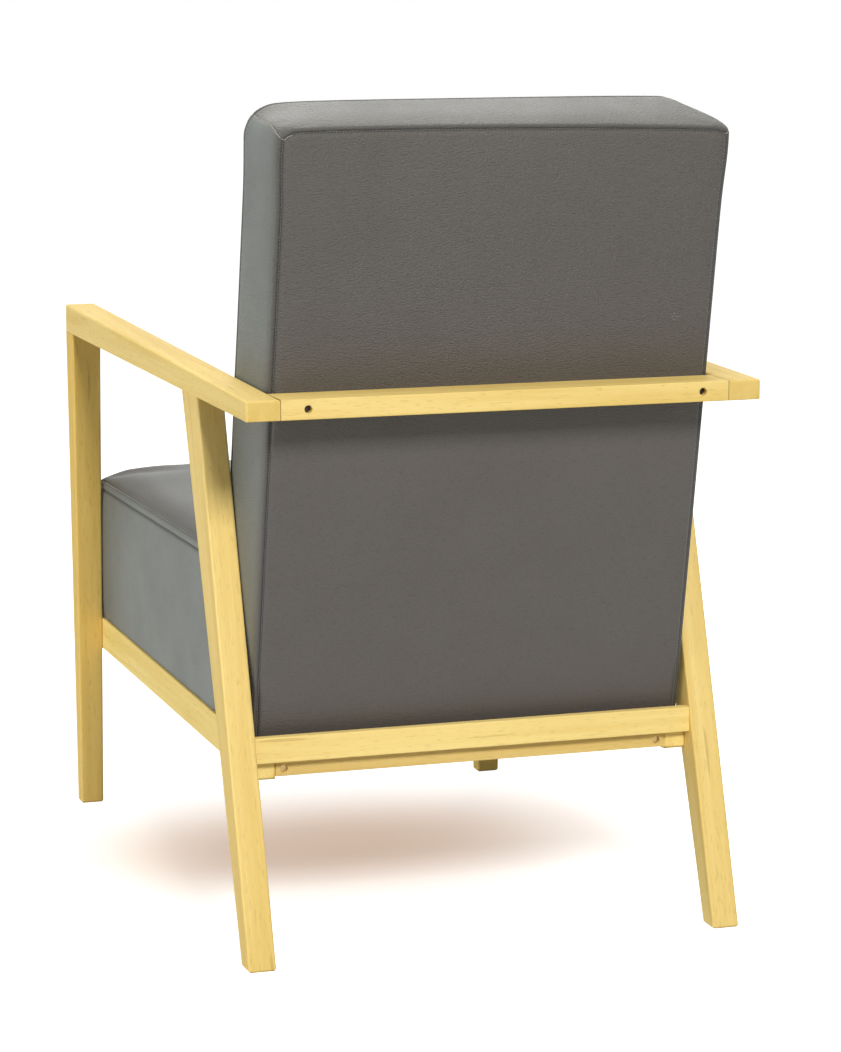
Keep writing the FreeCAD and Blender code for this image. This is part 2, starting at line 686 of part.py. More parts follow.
def seat_cover_pieces():
    """Top panel and the four borders of the seat cover."""
    shell = on_rails(seat_form(0.0).cut(seat_form(COVER)), 0.0)
    border = shell.common(box(EVERYWHERE, EVERYWHERE, (-FAR, SEAT_SEAM)))
    front_tip = SEAT_FRONT_Y + SEAT_HALF_WIDTH
    front_wedge = prism_z([(0, front_tip), (-FAR, front_tip - FAR), (FAR, front_tip - FAR)], EVERYWHERE)
    rear_tip = BOARD_REAR_Y - SEAT_HALF_WIDTH
    rear_wedge = prism_z([(0, rear_tip), (FAR, rear_tip + FAR), (-FAR, rear_tip + FAR)], EVERYWHERE)
    sides = border.cut(front_wedge).cut(rear_wedge)
    left = sides.common(box((0, FAR), EVERYWHERE, EVERYWHERE))
    return {"seat_top_panel": shell.common(box(EVERYWHERE, EVERYWHERE, (SEAT_SEAM, FAR))),
            "seat_front_border": border.common(front_wedge),
            "seat_rear_border": border.common(rear_wedge),
            "left_seat_border": left,
            "right_seat_border": mirrored(left)}


def seat_boards():
    """Box frame of the seat, standing on the dust cover."""
    height = (SIDE_RAIL_REAR_TOP, BOARD_TOP)
    inner = BOARD_OUTER_X - BOARD_THICK
    side = box((inner, BOARD_OUTER_X), (BOARD_FRONT_Y, BOARD_REAR_Y), height)
    front = box((-inner, inner), (BOARD_FRONT_Y, BOARD_FRONT_Y + BOARD_THICK), height)
    rear = box((-inner, inner), (BOARD_REAR_Y - BOARD_THICK, BOARD_REAR_Y), height)
    side, front, rear = [on_rails(board, DUST_COVER) for board in (side, front, rear)]
    return bored(side, unit_screws(), 0.0), front, rear


def seat_webbing():
    """Straps from side board to side board."""
    first = BOARD_FRONT_Y + BOARD_THICK + STRAP_WIDTH
    last = BOARD_REAR_Y - BOARD_THICK - STRAP_WIDTH
    height = (BOARD_TOP, BOARD_TOP + STRAP_THICK)
    straps = []
    for number in range(SEAT_STRAPS):
        middle = between(first, last, number / (SEAT_STRAPS - 1))
        depth = (middle - STRAP_WIDTH / 2, middle + STRAP_WIDTH / 2)
        straps.append(box((-BOARD_OUTER_X, BOARD_OUTER_X), depth, height))
    return straps


def seat_foam():
    """Foam over the webbing and round the box frame."""
    core = box((-BOARD_OUTER_X, BOARD_OUTER_X), (BOARD_FRONT_Y, BOARD_REAR_Y),
               (-FAR, BOARD_TOP + STRAP_THICK))
    return on_rails(seat_form(COVER).cut(core), DUST_COVER)


def seat_dust_cover():
    """Thin cloth under the box frame."""
    sheet = box((-BOARD_OUTER_X, BOARD_OUTER_X), (BOARD_FRONT_Y, BOARD_REAR_Y),
                (SIDE_RAIL_REAR_TOP, SIDE_RAIL_FRONT_TOP + RAIL_HEIGHT))
    sheet = on_rails(sheet, 0.0)
    sheet = sheet.cut(on_rails(sheet, DUST_COVER))
    return bored(sheet, unit_screws(), 0.0)


def save_frame():
    save_sides("armrest", armrest())
    save_sides("front_leg", front_leg())
    save_sides("rear_leg", rear_leg())
    save_sides("side_rail", side_rail())
    save("upper_back_rail", [upper_back_rail()])
    save("front_seat_rail", [front_seat_rail()])
    save("rear_frame_member", [rear_member()])
    save("rear_seat_rail", [rear_seat_rail()])
    save_sides("front_corner_block", corner_block(FRONT_RAIL_Y[1], 1, front_block_screws(), FRONT_RAIL_MID))
    rear_mid = REAR_MEMBER_BOTTOM + BLOCK_HEIGHT / 2
    save_sides("rear_corner_block", corner_block(REAR_MEMBER_Y[0], -1, rear_block_screws(), rear_mid))


def save_fasteners():
    save("arm_dowels", pair(rods_of(arm_dowels())))
    save("upper_rail_dowels", pair(rods_of(upper_rail_dowels())))
    save("seat_rail_dowels", pair(rods_of(seat_rail_dowels())))
    save("rear_rail_dowels", pair(rods_of(rear_rail_dowels())))
    save("side_rail_bolts", pair(screws_of(side_rail_bolts())))
    save("unit_fixing_screws", pair(screws_of(unit_screws())))
    save("back_fixing_screws", pair(screws_of(back_screws())))
    save("corner_block_screws", pair(screws_of(rear_block_screws() + front_block_screws())))
    save("rear_rail_screws", screws_of(rear_rail_screws()))


def save_back():
    for name, piece in back_cover_pieces().items():
        save(name, [piece])
    stile, top, bottom = back_frame()
    save_sides("back_stile", stile)
    save("back_top_rail", [top])
    save("back_bottom_rail", [bottom])
    save("back_webbing", back_webbing())
    save("back_foam", [back_foam()])


def save_seat():
    for name, piece in seat_cover_pieces().items():
        save(name, [piece])
    side, front, rear = seat_boards()
    save_sides("seat_board", side)
    save("front_seat_board", [front])
    save("rear_seat_board", [rear])
    save("seat_webbing", seat_webbing())
    save("seat_foam", [seat_foam()])
    save("seat_dust_cover", [seat_dust_cover()])


def main():
    os.makedirs("parts", exist_ok=True)
    save_frame()
    save_fasteners()
    save_back()
    save_seat()


main()
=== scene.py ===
import math

import bmesh
import bpy
import numpy as np
from bpy.props import FloatProperty, FloatVectorProperty, IntProperty, PointerProperty
from mathutils import Euler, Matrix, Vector
from mathutils.bvhtree import BVHTree


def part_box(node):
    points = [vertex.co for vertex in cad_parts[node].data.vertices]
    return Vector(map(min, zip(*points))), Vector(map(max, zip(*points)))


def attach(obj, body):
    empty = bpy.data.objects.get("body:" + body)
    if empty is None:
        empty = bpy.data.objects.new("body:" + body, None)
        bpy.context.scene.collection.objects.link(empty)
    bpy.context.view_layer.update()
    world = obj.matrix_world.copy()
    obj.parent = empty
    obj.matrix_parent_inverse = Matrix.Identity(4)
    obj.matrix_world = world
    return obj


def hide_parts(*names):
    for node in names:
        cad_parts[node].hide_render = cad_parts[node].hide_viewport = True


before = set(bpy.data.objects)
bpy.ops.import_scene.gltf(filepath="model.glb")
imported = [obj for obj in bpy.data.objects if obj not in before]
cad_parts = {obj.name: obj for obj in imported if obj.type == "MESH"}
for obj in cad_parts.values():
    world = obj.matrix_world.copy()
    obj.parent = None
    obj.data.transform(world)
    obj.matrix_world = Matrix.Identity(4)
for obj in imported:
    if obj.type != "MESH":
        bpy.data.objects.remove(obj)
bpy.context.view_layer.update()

bl_info = {
    "name": "Lounge Chair",
    "version": (1, 0, 0),
    "blender": (4, 5, 0),
    "location": "3D View > Sidebar > Lounge Chair",
    "description": "Beech frame, leather back and seat of a lounge chair, set on its packed solids",
    "category": "Object",
}

# Directions of the grain: turns that lay the Z axis along it.
QUARTER = math.radians(90)
UPRIGHT, RAKED = (0, 0, 0), (math.radians(-19.4), 0, 0)
FORWARD, ACROSS = (QUARTER, 0, 0), (0, QUARTER, 0)

# Groups of beech pieces: nodes, material, direction of the grain, place in the grain, tone. The tone
# paints light and shade: lighter on the low rails, darker and warmer on the front legs and the set-back
# rear member.
BEECH_PIECES = (
    (("left_armrest", "right_armrest"),
     "beech_arms", FORWARD, (0.1, 0.3, 0.2), (1.0, 1.0, 1.0)),
    # Painted shade: the front legs are toned darker and warmer.
    (("left_front_leg", "right_front_leg"),
     "beech_front_legs", UPRIGHT, (0.5, 0.1, 0.7), (0.97, 0.90, 0.70)),
    (("left_rear_leg", "right_rear_leg"),
     "beech_rear_legs", RAKED, (0.2, 0.6, 0.4), (1.0, 1.0, 1.0)),
    # Painted light: the low side rails are toned lighter.
    (("left_side_rail", "right_side_rail"),
     "beech_side_rails", FORWARD, (0.8, 0.2, 0.9), (1.13, 1.16, 1.16)),
    # Painted light: the low cross rails are toned lighter.
    (("front_seat_rail", "rear_seat_rail"),
     "beech_cross_rails", ACROSS, (0.4, 0.9, 0.3), (1.12, 1.14, 1.16)),
    # Painted shade: the set-back rear member is toned darker.
    (("rear_frame_member",),
     "beech_rear_member", ACROSS, (0.7, 0.4, 0.1), (0.92, 0.88, 0.84)),
    (("upper_back_rail",),
     "beech_upper_rail", ACROSS, (0.3, 0.2, 0.8), (1.0, 1.0, 1.0)),
)
BACK_COVER = ("back_rear_panel", "back_front_panel", "back_top_border",
              "left_back_border", "right_back_border")
SEAT_COVER = ("seat_top_panel", "seat_front_border", "seat_rear_border",
              "left_seat_border", "right_seat_border")
INNER_TIMBER = ("left_front_corner_block", "right_front_corner_block", "left_rear_corner_block",
                "right_rear_corner_block", "left_back_stile", "right_back_stile", "back_top_rail",
                "back_bottom_rail", "left_seat_board", "right_seat_board", "front_seat_board",
                "rear_seat_board")
DOWELS = ("arm_dowels", "upper_rail_dowels", "seat_rail_dowels", "rear_rail_dowels")
SCREWS = ("side_rail_bolts", "unit_fixing_screws", "back_fixing_screws")
ZINC_SCREWS = ("corner_block_screws", "rear_rail_screws")
STRAPS = ("back_webbing", "seat_webbing")

# Rows of points beside the edges of the covers, measured from the edge in metres.
BACK_SEAM_ROWS = (0.0, 0.0012, 0.0026, 0.0048, 0.008, 0.013)
BACK_ROUND_ROWS = (0.0, 0.003, 0.006, 0.009, 0.012, 0.0150, 0.0176, 0.019, 0.0204, 0.023, 0.028)
FOOT_ROWS = (0.0, 0.002, 0.006)
SEAT_SEAM_ROWS = (0.0, 0.0012, 0.0026, 0.0048, 0.008, 0.011, 0.014, 0.019, 0.025)
SEAT_EDGE_ROWS = (0.0, 0.0012, 0.0026, 0.0055, 0.0084, 0.0098, 0.011, 0.0122, 0.0136, 0.017)

# Places of the seams, and gaps that keep the cushions clear of the rails and of each other.
FRONT_SEAM_INSET = 0.019
SECOND_SEAM_DROP = 0.011
HELD_WIDTH = 0.0050
REST_GAP = 0.0004
SEAT_REAR_GAP = 0.0006
ARM_HEIGHT = 0.62

# How the leather behaves while it is pumped up.
LEATHER_CLOTH = {
    "quality": 6, "mass": 0.4, "tension_stiffness": 18, "compression_stiffness": 18,
    "shear_stiffness": 8, "bending_stiffness": 1.2, "use_pressure": True,
}

# Outline of one stitch: place along it, and share of its thickness there.
STITCH_RINGS = ((-0.5, 0.0), (-0.42, 0.75), (-0.2, 1.0), (0.2, 1.0), (0.42, 0.75), (0.5, 0.0))
STITCH_SIDES = 6

# Lamps: setting that holds the power, place, aim, size, colour.
LAMPS = (
    ("overhead", (0.2, 0.3, 3.0), (0, 0, 0.4), 2.6, (1.0, 0.92, 0.80)),
    ("rear", (0.4, 5.2, 3.7), (0.1, 0.3, 0.5), 1.3, (1.0, 0.97, 0.93)),
    ("front", (-0.9, -3.2, 2.8), (0, 0, 0.5), 2.2, (1.0, 0.98, 0.95)),
    ("side", (4.2, 0.3, 0.9), (0, 0.1, 0.5), 2.0, (1.0, 0.98, 0.94)),
)
SKY_COLOR = (0.80, 0.96, 1.0, 1.0)
# Warm painted shadow: the floor's glow for the camera under the chair, laid over the floor's real
# shadow.
PAINTED_SHADOW_COLOR = (0.53, 0.385, 0.295)
FLOOR_REACH = 14.0

# What all settings of a colour share.
COLOR = {"subtype": "COLOR", "size": 3, "min": 0, "max": 1}


class ChairFinish(bpy.types.PropertyGroup):
    beech: FloatVectorProperty(
        name="Beech", description="Lacquered beech between its darker lines",
        **COLOR, default=(0.825, 0.640, 0.245))
    beech_line: FloatVectorProperty(
        name="Beech line", description="Darker lines of the beech",
        **COLOR, default=(0.67, 0.455, 0.112))
    leather: FloatVectorProperty(
        name="Leather", description="Grey leather of the back and the seat",
        **COLOR, default=(0.0915, 0.0770, 0.0715))
    # Painted side light: the side borders get a lighter, cooler colour for the cool light that falls on
    # them from the side.
    leather_painted_side_light: FloatVectorProperty(
        name="Leather painted side light", description="Cooler leather of the side borders",
        **COLOR, default=(0.1400, 0.1440, 0.1350))
    # Painted shade: the dark colour mixed into the leather in the valleys of its grain, in the seams and
    # beside the rear seam.
    leather_painted_shade: FloatVectorProperty(
        name="Leather painted shade", description="Leather in its creases and seams",
        **COLOR, default=(0.036, 0.034, 0.033))
    thread: FloatVectorProperty(
        name="Thread", description="Sewing thread of the seams",
        **COLOR, default=(0.52, 0.49, 0.44))
    timber: FloatVectorProperty(
        name="Inner timber", description="Raw timber of the inner frames and corner blocks",
        **COLOR, default=(0.60, 0.44, 0.26))
    steel: FloatVectorProperty(
        name="Screw steel", description="Dark steel of the screws and bolts",
        **COLOR, default=(0.075, 0.065, 0.055))
    zinc: FloatVectorProperty(
        name="Screw zinc", description="Yellow zinc of the screws under the back",
        **COLOR, default=(0.62, 0.46, 0.20))
    strap: FloatVectorProperty(
        name="Strap", description="Woven seat and back straps",
        **COLOR, default=(0.36, 0.29, 0.20))
    dust_cloth: FloatVectorProperty(
        name="Dust cloth", description="Cloth under the seat",
        **COLOR, default=(0.030, 0.030, 0.032))


class ChairCushions(bpy.types.PropertyGroup):
    back_lean: FloatProperty(
        name="Back lean", description="Lean of the back from upright",
        subtype="ANGLE", default=math.radians(10.8))
    back_half_width: FloatProperty(
        name="Back half width", description="Half the width of the back at its rear seam",
        unit="LENGTH", default=0.246)
    back_height: FloatProperty(
        name="Back height", description="Height of the rear panel along the lean",
        unit="LENGTH", default=0.682)
    back_depth: FloatProperty(
        name="Back depth", description="Depth of the back from its rear panel to its front panel",
        unit="LENGTH", default=0.147)
    back_roll: FloatProperty(
        name="Back roll", description="How far the borders roll out beyond the rear seam",
        unit="LENGTH", default=0.006)
    back_crown: FloatProperty(
        name="Top crown", description="Rise of the top border above the rear seam",
        unit="LENGTH", default=0.009)
    back_lumbar: FloatProperty(
        name="Lumbar", description="Forward swell of the front panel at the loins",
        unit="LENGTH", default=0.008)
    seat_half_width: FloatProperty(
        name="Seat half width", description="Half the width of the seat at its edge seam",
        unit="LENGTH", default=0.2515)
    seat_front: FloatProperty(
        name="Seat front", description="Place of the seat's front along the depth of the chair",
        unit="LENGTH", default=-0.409)
    seat_edge: FloatProperty(
        name="Seat edge", description="Height of the edge seam above the floor",
        unit="LENGTH", default=0.417)
    seat_crown: FloatProperty(
        name="Seat crown", description="Rise of the seat's middle above its edge seam",
        unit="LENGTH", default=0.029)
    mesh_step: FloatProperty(
        name="Mesh step", description="Distance between the points of a cover",
        unit="LENGTH", default=0.0065)
    pressure: FloatProperty(
        name="Pressure", description="Pressure that swells the covers",
        default=4.0, min=0.0)
    frames: IntProperty(
        name="Frames", description="Steps of the swelling", default=20, min=2)
    seam_depth: FloatProperty(
        name="Seam depth", description="Depth of a sewn groove", unit="LENGTH", default=0.0042)
    stitch_pitch: FloatProperty(
        name="Stitch pitch", description="Distance from one stitch to the next",
        unit="LENGTH", default=0.0036)
    stitch_length: FloatProperty(
        name="Stitch length", description="Length of one stitch", unit="LENGTH", default=0.0028)
    thread_radius: FloatProperty(
        name="Thread radius", description="Half the thickness of the thread",
        unit="LENGTH", default=0.00038)


class ChairStage(bpy.types.PropertyGroup):
    floor: FloatVectorProperty(
        name="Floor", description="Colour of the floor",
        **COLOR, default=(0.55, 0.55, 0.55))
    sky: FloatProperty(
        name="Room light", description="Strength of the light from all around",
        default=0.12, min=0)
    overhead: FloatProperty(
        name="Overhead lamp", description="Power of the wide lamp above the chair",
        unit="POWER", default=36.0, min=0)
    rear: FloatProperty(
        name="Rear lamp", description="Power of the lamp above and behind the chair",
        unit="POWER", default=290.0, min=0)
    side: FloatProperty(
        name="Side lamp", description="Power of the lamp beside the chair",
        unit="POWER", default=86.0, min=0)
    front: FloatProperty(
        name="Front lamp", description="Power of the lamp before the chair",
        unit="POWER", default=46.0, min=0)
    camera_place: FloatVectorProperty(
        name="Camera", description="Place of the camera", subtype="TRANSLATION", unit="LENGTH",
        size=3, default=(1.28525, 3.94821, 1.11201))
    camera_turn: FloatVectorProperty(
        name="Camera turn", description="Turn of the camera", subtype="EULER", size=3,
        default=(math.radians(80.383), 0.0, math.radians(161.437)))
    camera_lens: FloatProperty(
        name="Lens", description="Focal length on a sensor 36 mm high", default=121.96, min=1)


class LoungeChair(bpy.types.PropertyGroup):
    finish: PointerProperty(type=ChairFinish)
    cushions: PointerProperty(type=ChairCushions)
    stage: PointerProperty(type=ChairStage)


class Nodes:
    """Short way to write a material's nodes."""

    def __init__(self, name):
        self.material = bpy.data.materials.new(name)
        self.material.use_nodes = True
        self.tree = self.material.node_tree
        self.tree.nodes.clear()
        out = self.tree.nodes.new("ShaderNodeOutputMaterial")
        self.shader = self.tree.nodes.new("ShaderNodeBsdfPrincipled")
        self.tree.links.new(self.shader.outputs[0], out.inputs[0])
        self.coordinates = self.tree.nodes.new("ShaderNodeTexCoord").outputs["Object"]

    def feed(self, socket, value):
        if isinstance(value, bpy.types.NodeSocket):
            self.tree.links.new(value, socket)
        elif value is not None:
            if socket.type == "RGBA" and len(value) == 3:
                value = (*value, 1.0)
            socket.default_value = value

    def set(self, **values):
        for name, value in values.items():
            self.feed(self.shader.inputs[name.replace("_", " ")], value)

    def grain_space(self, turn, scale, shift=(0, 0, 0)):
        """Object coordinates, turned, then scaled along the turned axes."""
        turned = self.tree.nodes.new("ShaderNodeMapping")
        turned.inputs["Rotation"].default_value = turn
        turned.inputs["Location"].default_value = shift
        self.feed(turned.inputs["Vector"], self.coordinates)
        return self.scaled(turned.outputs[0], scale)

    def scaled(self, vector, scale):
        node = self.tree.nodes.new("ShaderNodeMapping")
        node.inputs["Scale"].default_value = scale
        self.feed(node.inputs["Vector"], vector)
        return node.outputs[0]

    def along(self, axis):
        """Object coordinate along one axis."""
        node = self.tree.nodes.new("ShaderNodeSeparateXYZ")
        self.feed(node.inputs[0], self.coordinates)
        return node.outputs[axis]

    def noise(self, vector, scale, detail=3.0, rough=0.55, distortion=0.0, output="Fac"):
        node = self.tree.nodes.new("ShaderNodeTexNoise")
        self.feed(node.inputs["Vector"], vector)
        node.inputs["Scale"].default_value = scale
        node.inputs["Detail"].default_value = detail
        node.inputs["Roughness"].default_value = rough
        node.inputs["Distortion"].default_value = distortion
        return node.outputs[output]

    def cells(self, vector, scale):
        node = self.tree.nodes.new("ShaderNodeTexVoronoi")
        self.feed(node.inputs["Vector"], vector)
        node.inputs["Scale"].default_value = scale
        return node.outputs["Distance"]

    def ramp(self, value, low, high, to_low=0.0, to_high=1.0):
        node = self.tree.nodes.new("ShaderNodeMapRange")
        node.interpolation_type = "SMOOTHSTEP"
        self.feed(node.inputs["Value"], value)
        for name, number in (("From Min", low), ("From Max", high),
                             ("To Min", to_low), ("To Max", to_high)):
            self.feed(node.inputs[name], number)
        return node.outputs["Result"]

    def math(self, operation, a, b=None):
        node = self.tree.nodes.new("ShaderNodeMath")
        node.operation = operation
        self.feed(node.inputs[0], a)
        self.feed(node.inputs[1], b)
        return node.outputs[0]

    def times(self, a, b):
        return self.math("MULTIPLY", a, b)

    def vector_math(self, operation, a, b):
        node = self.tree.nodes.new("ShaderNodeVectorMath")
        node.operation = operation
        self.feed(node.inputs[0], a)
        self.feed(node.inputs[1], b)
        return node.outputs["Value"] if operation == "DISTANCE" else node.outputs["Vector"]

    def mix(self, share, a, b):
        node = self.tree.nodes.new("ShaderNodeMix")
        node.data_type = "RGBA"
        self.feed(node.inputs[0], share)
        self.feed(node.inputs[6], a)
        self.feed(node.inputs[7], b)
        return node.outputs[2]

    def attribute(self, name):
        node = self.tree.nodes.new("ShaderNodeAttribute")
        node.attribute_name = name
        return node.outputs["Fac"]

    def bump(self, height, distance, strength=1.0, normal=None):
        node = self.tree.nodes.new("ShaderNodeBump")
        node.inputs["Strength"].default_value = strength
        node.inputs["Distance"].default_value = distance
        self.feed(node.inputs["Height"], height)
        self.feed(node.inputs["Normal"], normal)
        return node.outputs[0]

    def rounded(self, radius):
        node = self.tree.nodes.new("ShaderNodeBevel")
        node.samples = 4
        node.inputs["Radius"].default_value = radius
        return node.outputs[0]


def toned(color, tone):
    return tuple(min(1.0, channel * share) for channel, share in zip(color, tone))


def tinted(color, factor):
    return toned(color, (factor,) * 3)


def beech_finish(name, finish, turn, shift, tone, joint=None, end=None):
    """Lacquered beech in the piece's tone, with its grain along the turned Z axis. The tone is painted
    light and shade: lighter on the low rails, darker and warmer on the front legs and the set-back rear
    member.

    The joint is where a dark line shows at both ends along X, the end is where end grain shows along Y.
    """
    nodes = Nodes(name)
    pale, line = toned(finish.beech, tone), toned(finish.beech_line, tone)

    def drawn_out(length, *settings):
        return nodes.noise(nodes.grain_space(turn, (1, 1, length), shift), *settings)

    bands = drawn_out(0.035, 55, 4, 0.6, 0.4)
    fibres = drawn_out(0.012, 900, 3, 0.6)
    flecks = nodes.ramp(drawn_out(0.11, 620, 1, 0.5), 0.60, 0.72)
    clouds = drawn_out(0.25, 9, 2)
    streaks = nodes.ramp(drawn_out(0.06, 110, 1), 0.71, 0.77)
    base = nodes.mix(nodes.ramp(bands, 0.32, 0.72, 0.0, 0.62), pale, line)
    base = nodes.mix(nodes.ramp(fibres, 0.35, 0.75, 0.0, 0.22), base, line)
    base = nodes.mix(nodes.times(flecks, 0.30), base, tinted(line, 0.62))
    base = nodes.mix(nodes.ramp(clouds, 0.3, 0.7, 0.0, 0.16), base, toned((0.90, 0.70, 0.33), tone))
    base = nodes.mix(nodes.times(streaks, 0.4), base, (0.42, 0.25, 0.07))
    if end is not None:
        cut = nodes.ramp(nodes.along("Y"), end - 0.0016, end - 0.0006)
        base = nodes.mix(nodes.times(cut, 0.45), base, tinted(line, 0.9))
    if joint is not None:
        gap = nodes.ramp(nodes.math("ABSOLUTE", nodes.along("X")), joint - 0.0011, joint - 0.0004)
        base = nodes.mix(nodes.times(gap, 0.8), base, (0.16, 0.09, 0.03))
    nodes.set(Base_Color=base,
              Roughness=nodes.ramp(fibres, 0.25, 0.8, 0.56, 0.70),
              Normal=nodes.bump(nodes.math("SUBTRACT", fibres, flecks), 0.00012, 0.5,
                                nodes.rounded(0.0011)),
              Specular_IOR_Level=0.10)
    return nodes.material


def leather_finish(name, finish, scuff=None):
    """Grey leather with pebbled grain and fine creases, with painted shade in the valleys of the grain,
    in the seams and beside the rear seam. The scuff is a small pale mark.
    """
    nodes = Nodes(name)
    at = nodes.coordinates
    drift = nodes.noise(at, 160, 2.0, 0.5, output="Color")
    bent = nodes.vector_math("ADD", at, nodes.vector_math("MULTIPLY", drift, (0.0007,) * 3))
    stretched = nodes.scaled(bent, (0.60, 0.8, 1.5))
    pebbles = nodes.cells(stretched, 520)
    pores = nodes.cells(stretched, 1300)
    folds = nodes.noise(nodes.grain_space(UPRIGHT, (0.22, 0.6, 1.6)), 150, 3, 0.6, 0.6)
    where = nodes.ramp(nodes.noise(at, 7, 2), 0.45, 0.68)
    clouds = nodes.noise(at, 11, 3, 0.6)
    groove = nodes.attribute("groove")
    # Painted side light: the side borders, noted in the border attribute, take a lighter, cooler colour.
    hide = nodes.mix(nodes.attribute("border"), tuple(finish.leather), tuple(finish.leather_painted_side_light))
    base = nodes.mix(nodes.ramp(clouds, 0.25, 0.75, 0.0, 0.20), hide, tinted(finish.leather, 0.82))
    # Painted shade in the valleys of the pebbles.
    base = nodes.mix(nodes.ramp(pebbles, 0.45, 0.95, 0.0, 0.28), base, finish.leather_painted_shade)
    # Painted shade in the seams and on the rolled border beside the rear seam.
    base = nodes.mix(nodes.times(groove, 0.9), base, finish.leather_painted_shade)
    if scuff is not None:
        near = nodes.ramp(nodes.vector_math("DISTANCE", at, scuff), 0.003, 0.008, 1.0, 0.0)
        marks = nodes.ramp(nodes.noise(at, 620, 1), 0.60, 0.68)
        base = nodes.mix(nodes.times(nodes.times(near, marks), 0.40), base, (0.62, 0.60, 0.57))
    height = nodes.math("SUBTRACT", nodes.times(nodes.times(folds, where), 0.3),
                        nodes.math("ADD", pebbles, nodes.times(pores, 0.35)))
    height = nodes.times(height, nodes.ramp(nodes.along("Z"), 0.45, 0.80, 0.45, 1.3))
    nodes.set(Base_Color=base,
              Roughness=nodes.ramp(clouds, 0.2, 0.8, 0.50, 0.58),
              Normal=nodes.bump(height, 0.0011, 0.7),
              Specular_IOR_Level=0.45, Specular_Tint=(0.80, 1.0, 1.0),
              Sheen_Weight=0.12, Sheen_Roughness=0.40, Sheen_Tint=(0.8, 1.0, 0.97))
    return nodes.material


def thread_finish(name, color):
    nodes = Nodes(name)
    twist = nodes.noise(nodes.grain_space((0.4, 0.3, 0.2), (1, 1, 1)), 2600, 2)
    nodes.set(Base_Color=nodes.mix(nodes.ramp(twist, 0.3, 0.7, 0, 0.5), color, tinted(color, 0.55)),
              Roughness=nodes.ramp(twist, 0.2, 0.8, 0.5, 0.75),
              Normal=nodes.bump(twist, 0.0002, 0.6))
    return nodes.material


def timber_finish(name, color, place):
    """Raw sawn timber, cut at a place in its grain."""
    nodes = Nodes(name)
    lines = nodes.noise(nodes.grain_space(ACROSS, (1, 1, 0.03), (place, 0, 0)), 90, 4, 0.6)
    saw = nodes.noise(nodes.grain_space(UPRIGHT, (0.2, 1, 1)), 700, 2)
    nodes.set(Base_Color=nodes.mix(nodes.ramp(lines, 0.3, 0.75, 0, 0.6), color, tinted(color, 0.6)),
              Roughness=nodes.ramp(saw, 0.2, 0.8, 0.62, 0.82),
              Normal=nodes.bump(nodes.math("ADD", lines, saw), 0.0003, 0.5))
    return nodes.material


def steel_finish(name, color):
    nodes = Nodes(name)
    dull = nodes.noise(nodes.coordinates, 900, 3)
    nodes.set(Base_Color=nodes.mix(nodes.ramp(dull, 0.35, 0.7), color, tinted(color, 0.5)),
              Metallic=0.9, Roughness=nodes.ramp(dull, 0.2, 0.8, 0.34, 0.55),
              Normal=nodes.bump(dull, 0.0001, 0.4))
    return nodes.material


def woven_finish(name, color, pitch, rough):
    """Plain weave at a given thread pitch."""
    nodes = Nodes(name)
    waves = []
    for axis in ("X", "Y"):
        wave = nodes.tree.nodes.new("ShaderNodeTexWave")
        wave.bands_direction = axis
        nodes.feed(wave.inputs["Vector"], nodes.coordinates)
        wave.inputs["Scale"].default_value = 0.314 / pitch
        wave.inputs["Distortion"].default_value = 0.4
        waves.append(wave.outputs["Fac"])
    weave = nodes.times(*waves)
    fluff = nodes.noise(nodes.coordinates, 500, 3)
    yarn = nodes.mix(nodes.ramp(fluff, 0.3, 0.7), color, tinted(color, 1.25))
    relief = nodes.math("ADD", weave, nodes.times(fluff, 0.4))
    nodes.set(Base_Color=nodes.mix(nodes.ramp(weave, 0.1, 0.8), tinted(color, 0.55), yarn),
              Roughness=nodes.ramp(fluff, 0.2, 0.8, rough - 0.1, rough),
              Normal=nodes.bump(relief, 0.0004, 0.7))
    return nodes.material


def dress(names, material):
    """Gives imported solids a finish."""
    for name in names:
        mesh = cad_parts[name].data
        if not mesh.materials:
            mesh.materials.append(material)
        for place in range(len(mesh.materials)):
            mesh.materials[place] = material


def stations(low, high, step, near_low, near_high):
    """Places from low to high: close together beside the two ends, even between them."""
    start = [low + gap for gap in near_low]
    end = [high - gap for gap in reversed(near_high)]
    count = max(2, round((end[0] - start[-1]) / step))
    middle = [start[-1] + (end[0] - start[-1]) * n / count for n in range(1, count)]
    return np.array(start + middle + end)


class Cover:
    """Closed leather skin over the six sides of a block, with its stations kept for the seams."""

    def __init__(self, rows):
        self.rows = rows
        self.last = [len(row) - 1 for row in rows]
        self.at = {}
        keys = []
        self.faces = []
        for axis in range(3):
            a, b = (axis + 1) % 3, (axis + 2) % 3
            for end in (0, self.last[axis]):
                for p in range(self.last[a]):
                    for q in range(self.last[b]):
                        quad = []
                        for dp, dq in ((0, 0), (1, 0), (1, 1), (0, 1)):
                            key = [0, 0, 0]
                            key[axis], key[a], key[b] = end, p + dp, q + dq
                            key = tuple(key)
                            if key not in self.at:
                                self.at[key] = len(keys)
                                keys.append(key)
                            quad.append(self.at[key])
                        self.faces.append(quad if end else quad[::-1])
        self.keys = np.array(keys)
        self.block = np.stack([rows[axis][self.keys[:, axis]] for axis in range(3)], axis=1)

    def mesh(self, name, points):
        mesh = bpy.data.meshes.new(name)
        mesh.from_pydata(points.tolist(), [], self.faces)
        work = bmesh.new()
        work.from_mesh(mesh)
        bmesh.ops.recalc_face_normals(work, faces=work.faces)
        work.to_mesh(mesh)
        work.free()
        return mesh

    def line(self, points, keys):
        return [Vector(points[self.at[key]]) for key in keys]


def columns(*parts):
    """Rows of numbers from columns. A column may be one number."""
    return np.stack(np.broadcast_arrays(*parts), axis=1)


def scaled_rows(rows, length):
    return [row / length for row in rows]


def smooth(value):
    value = np.clip(value, 0.0, 1.0)
    return value * value * (3 - 2 * value)


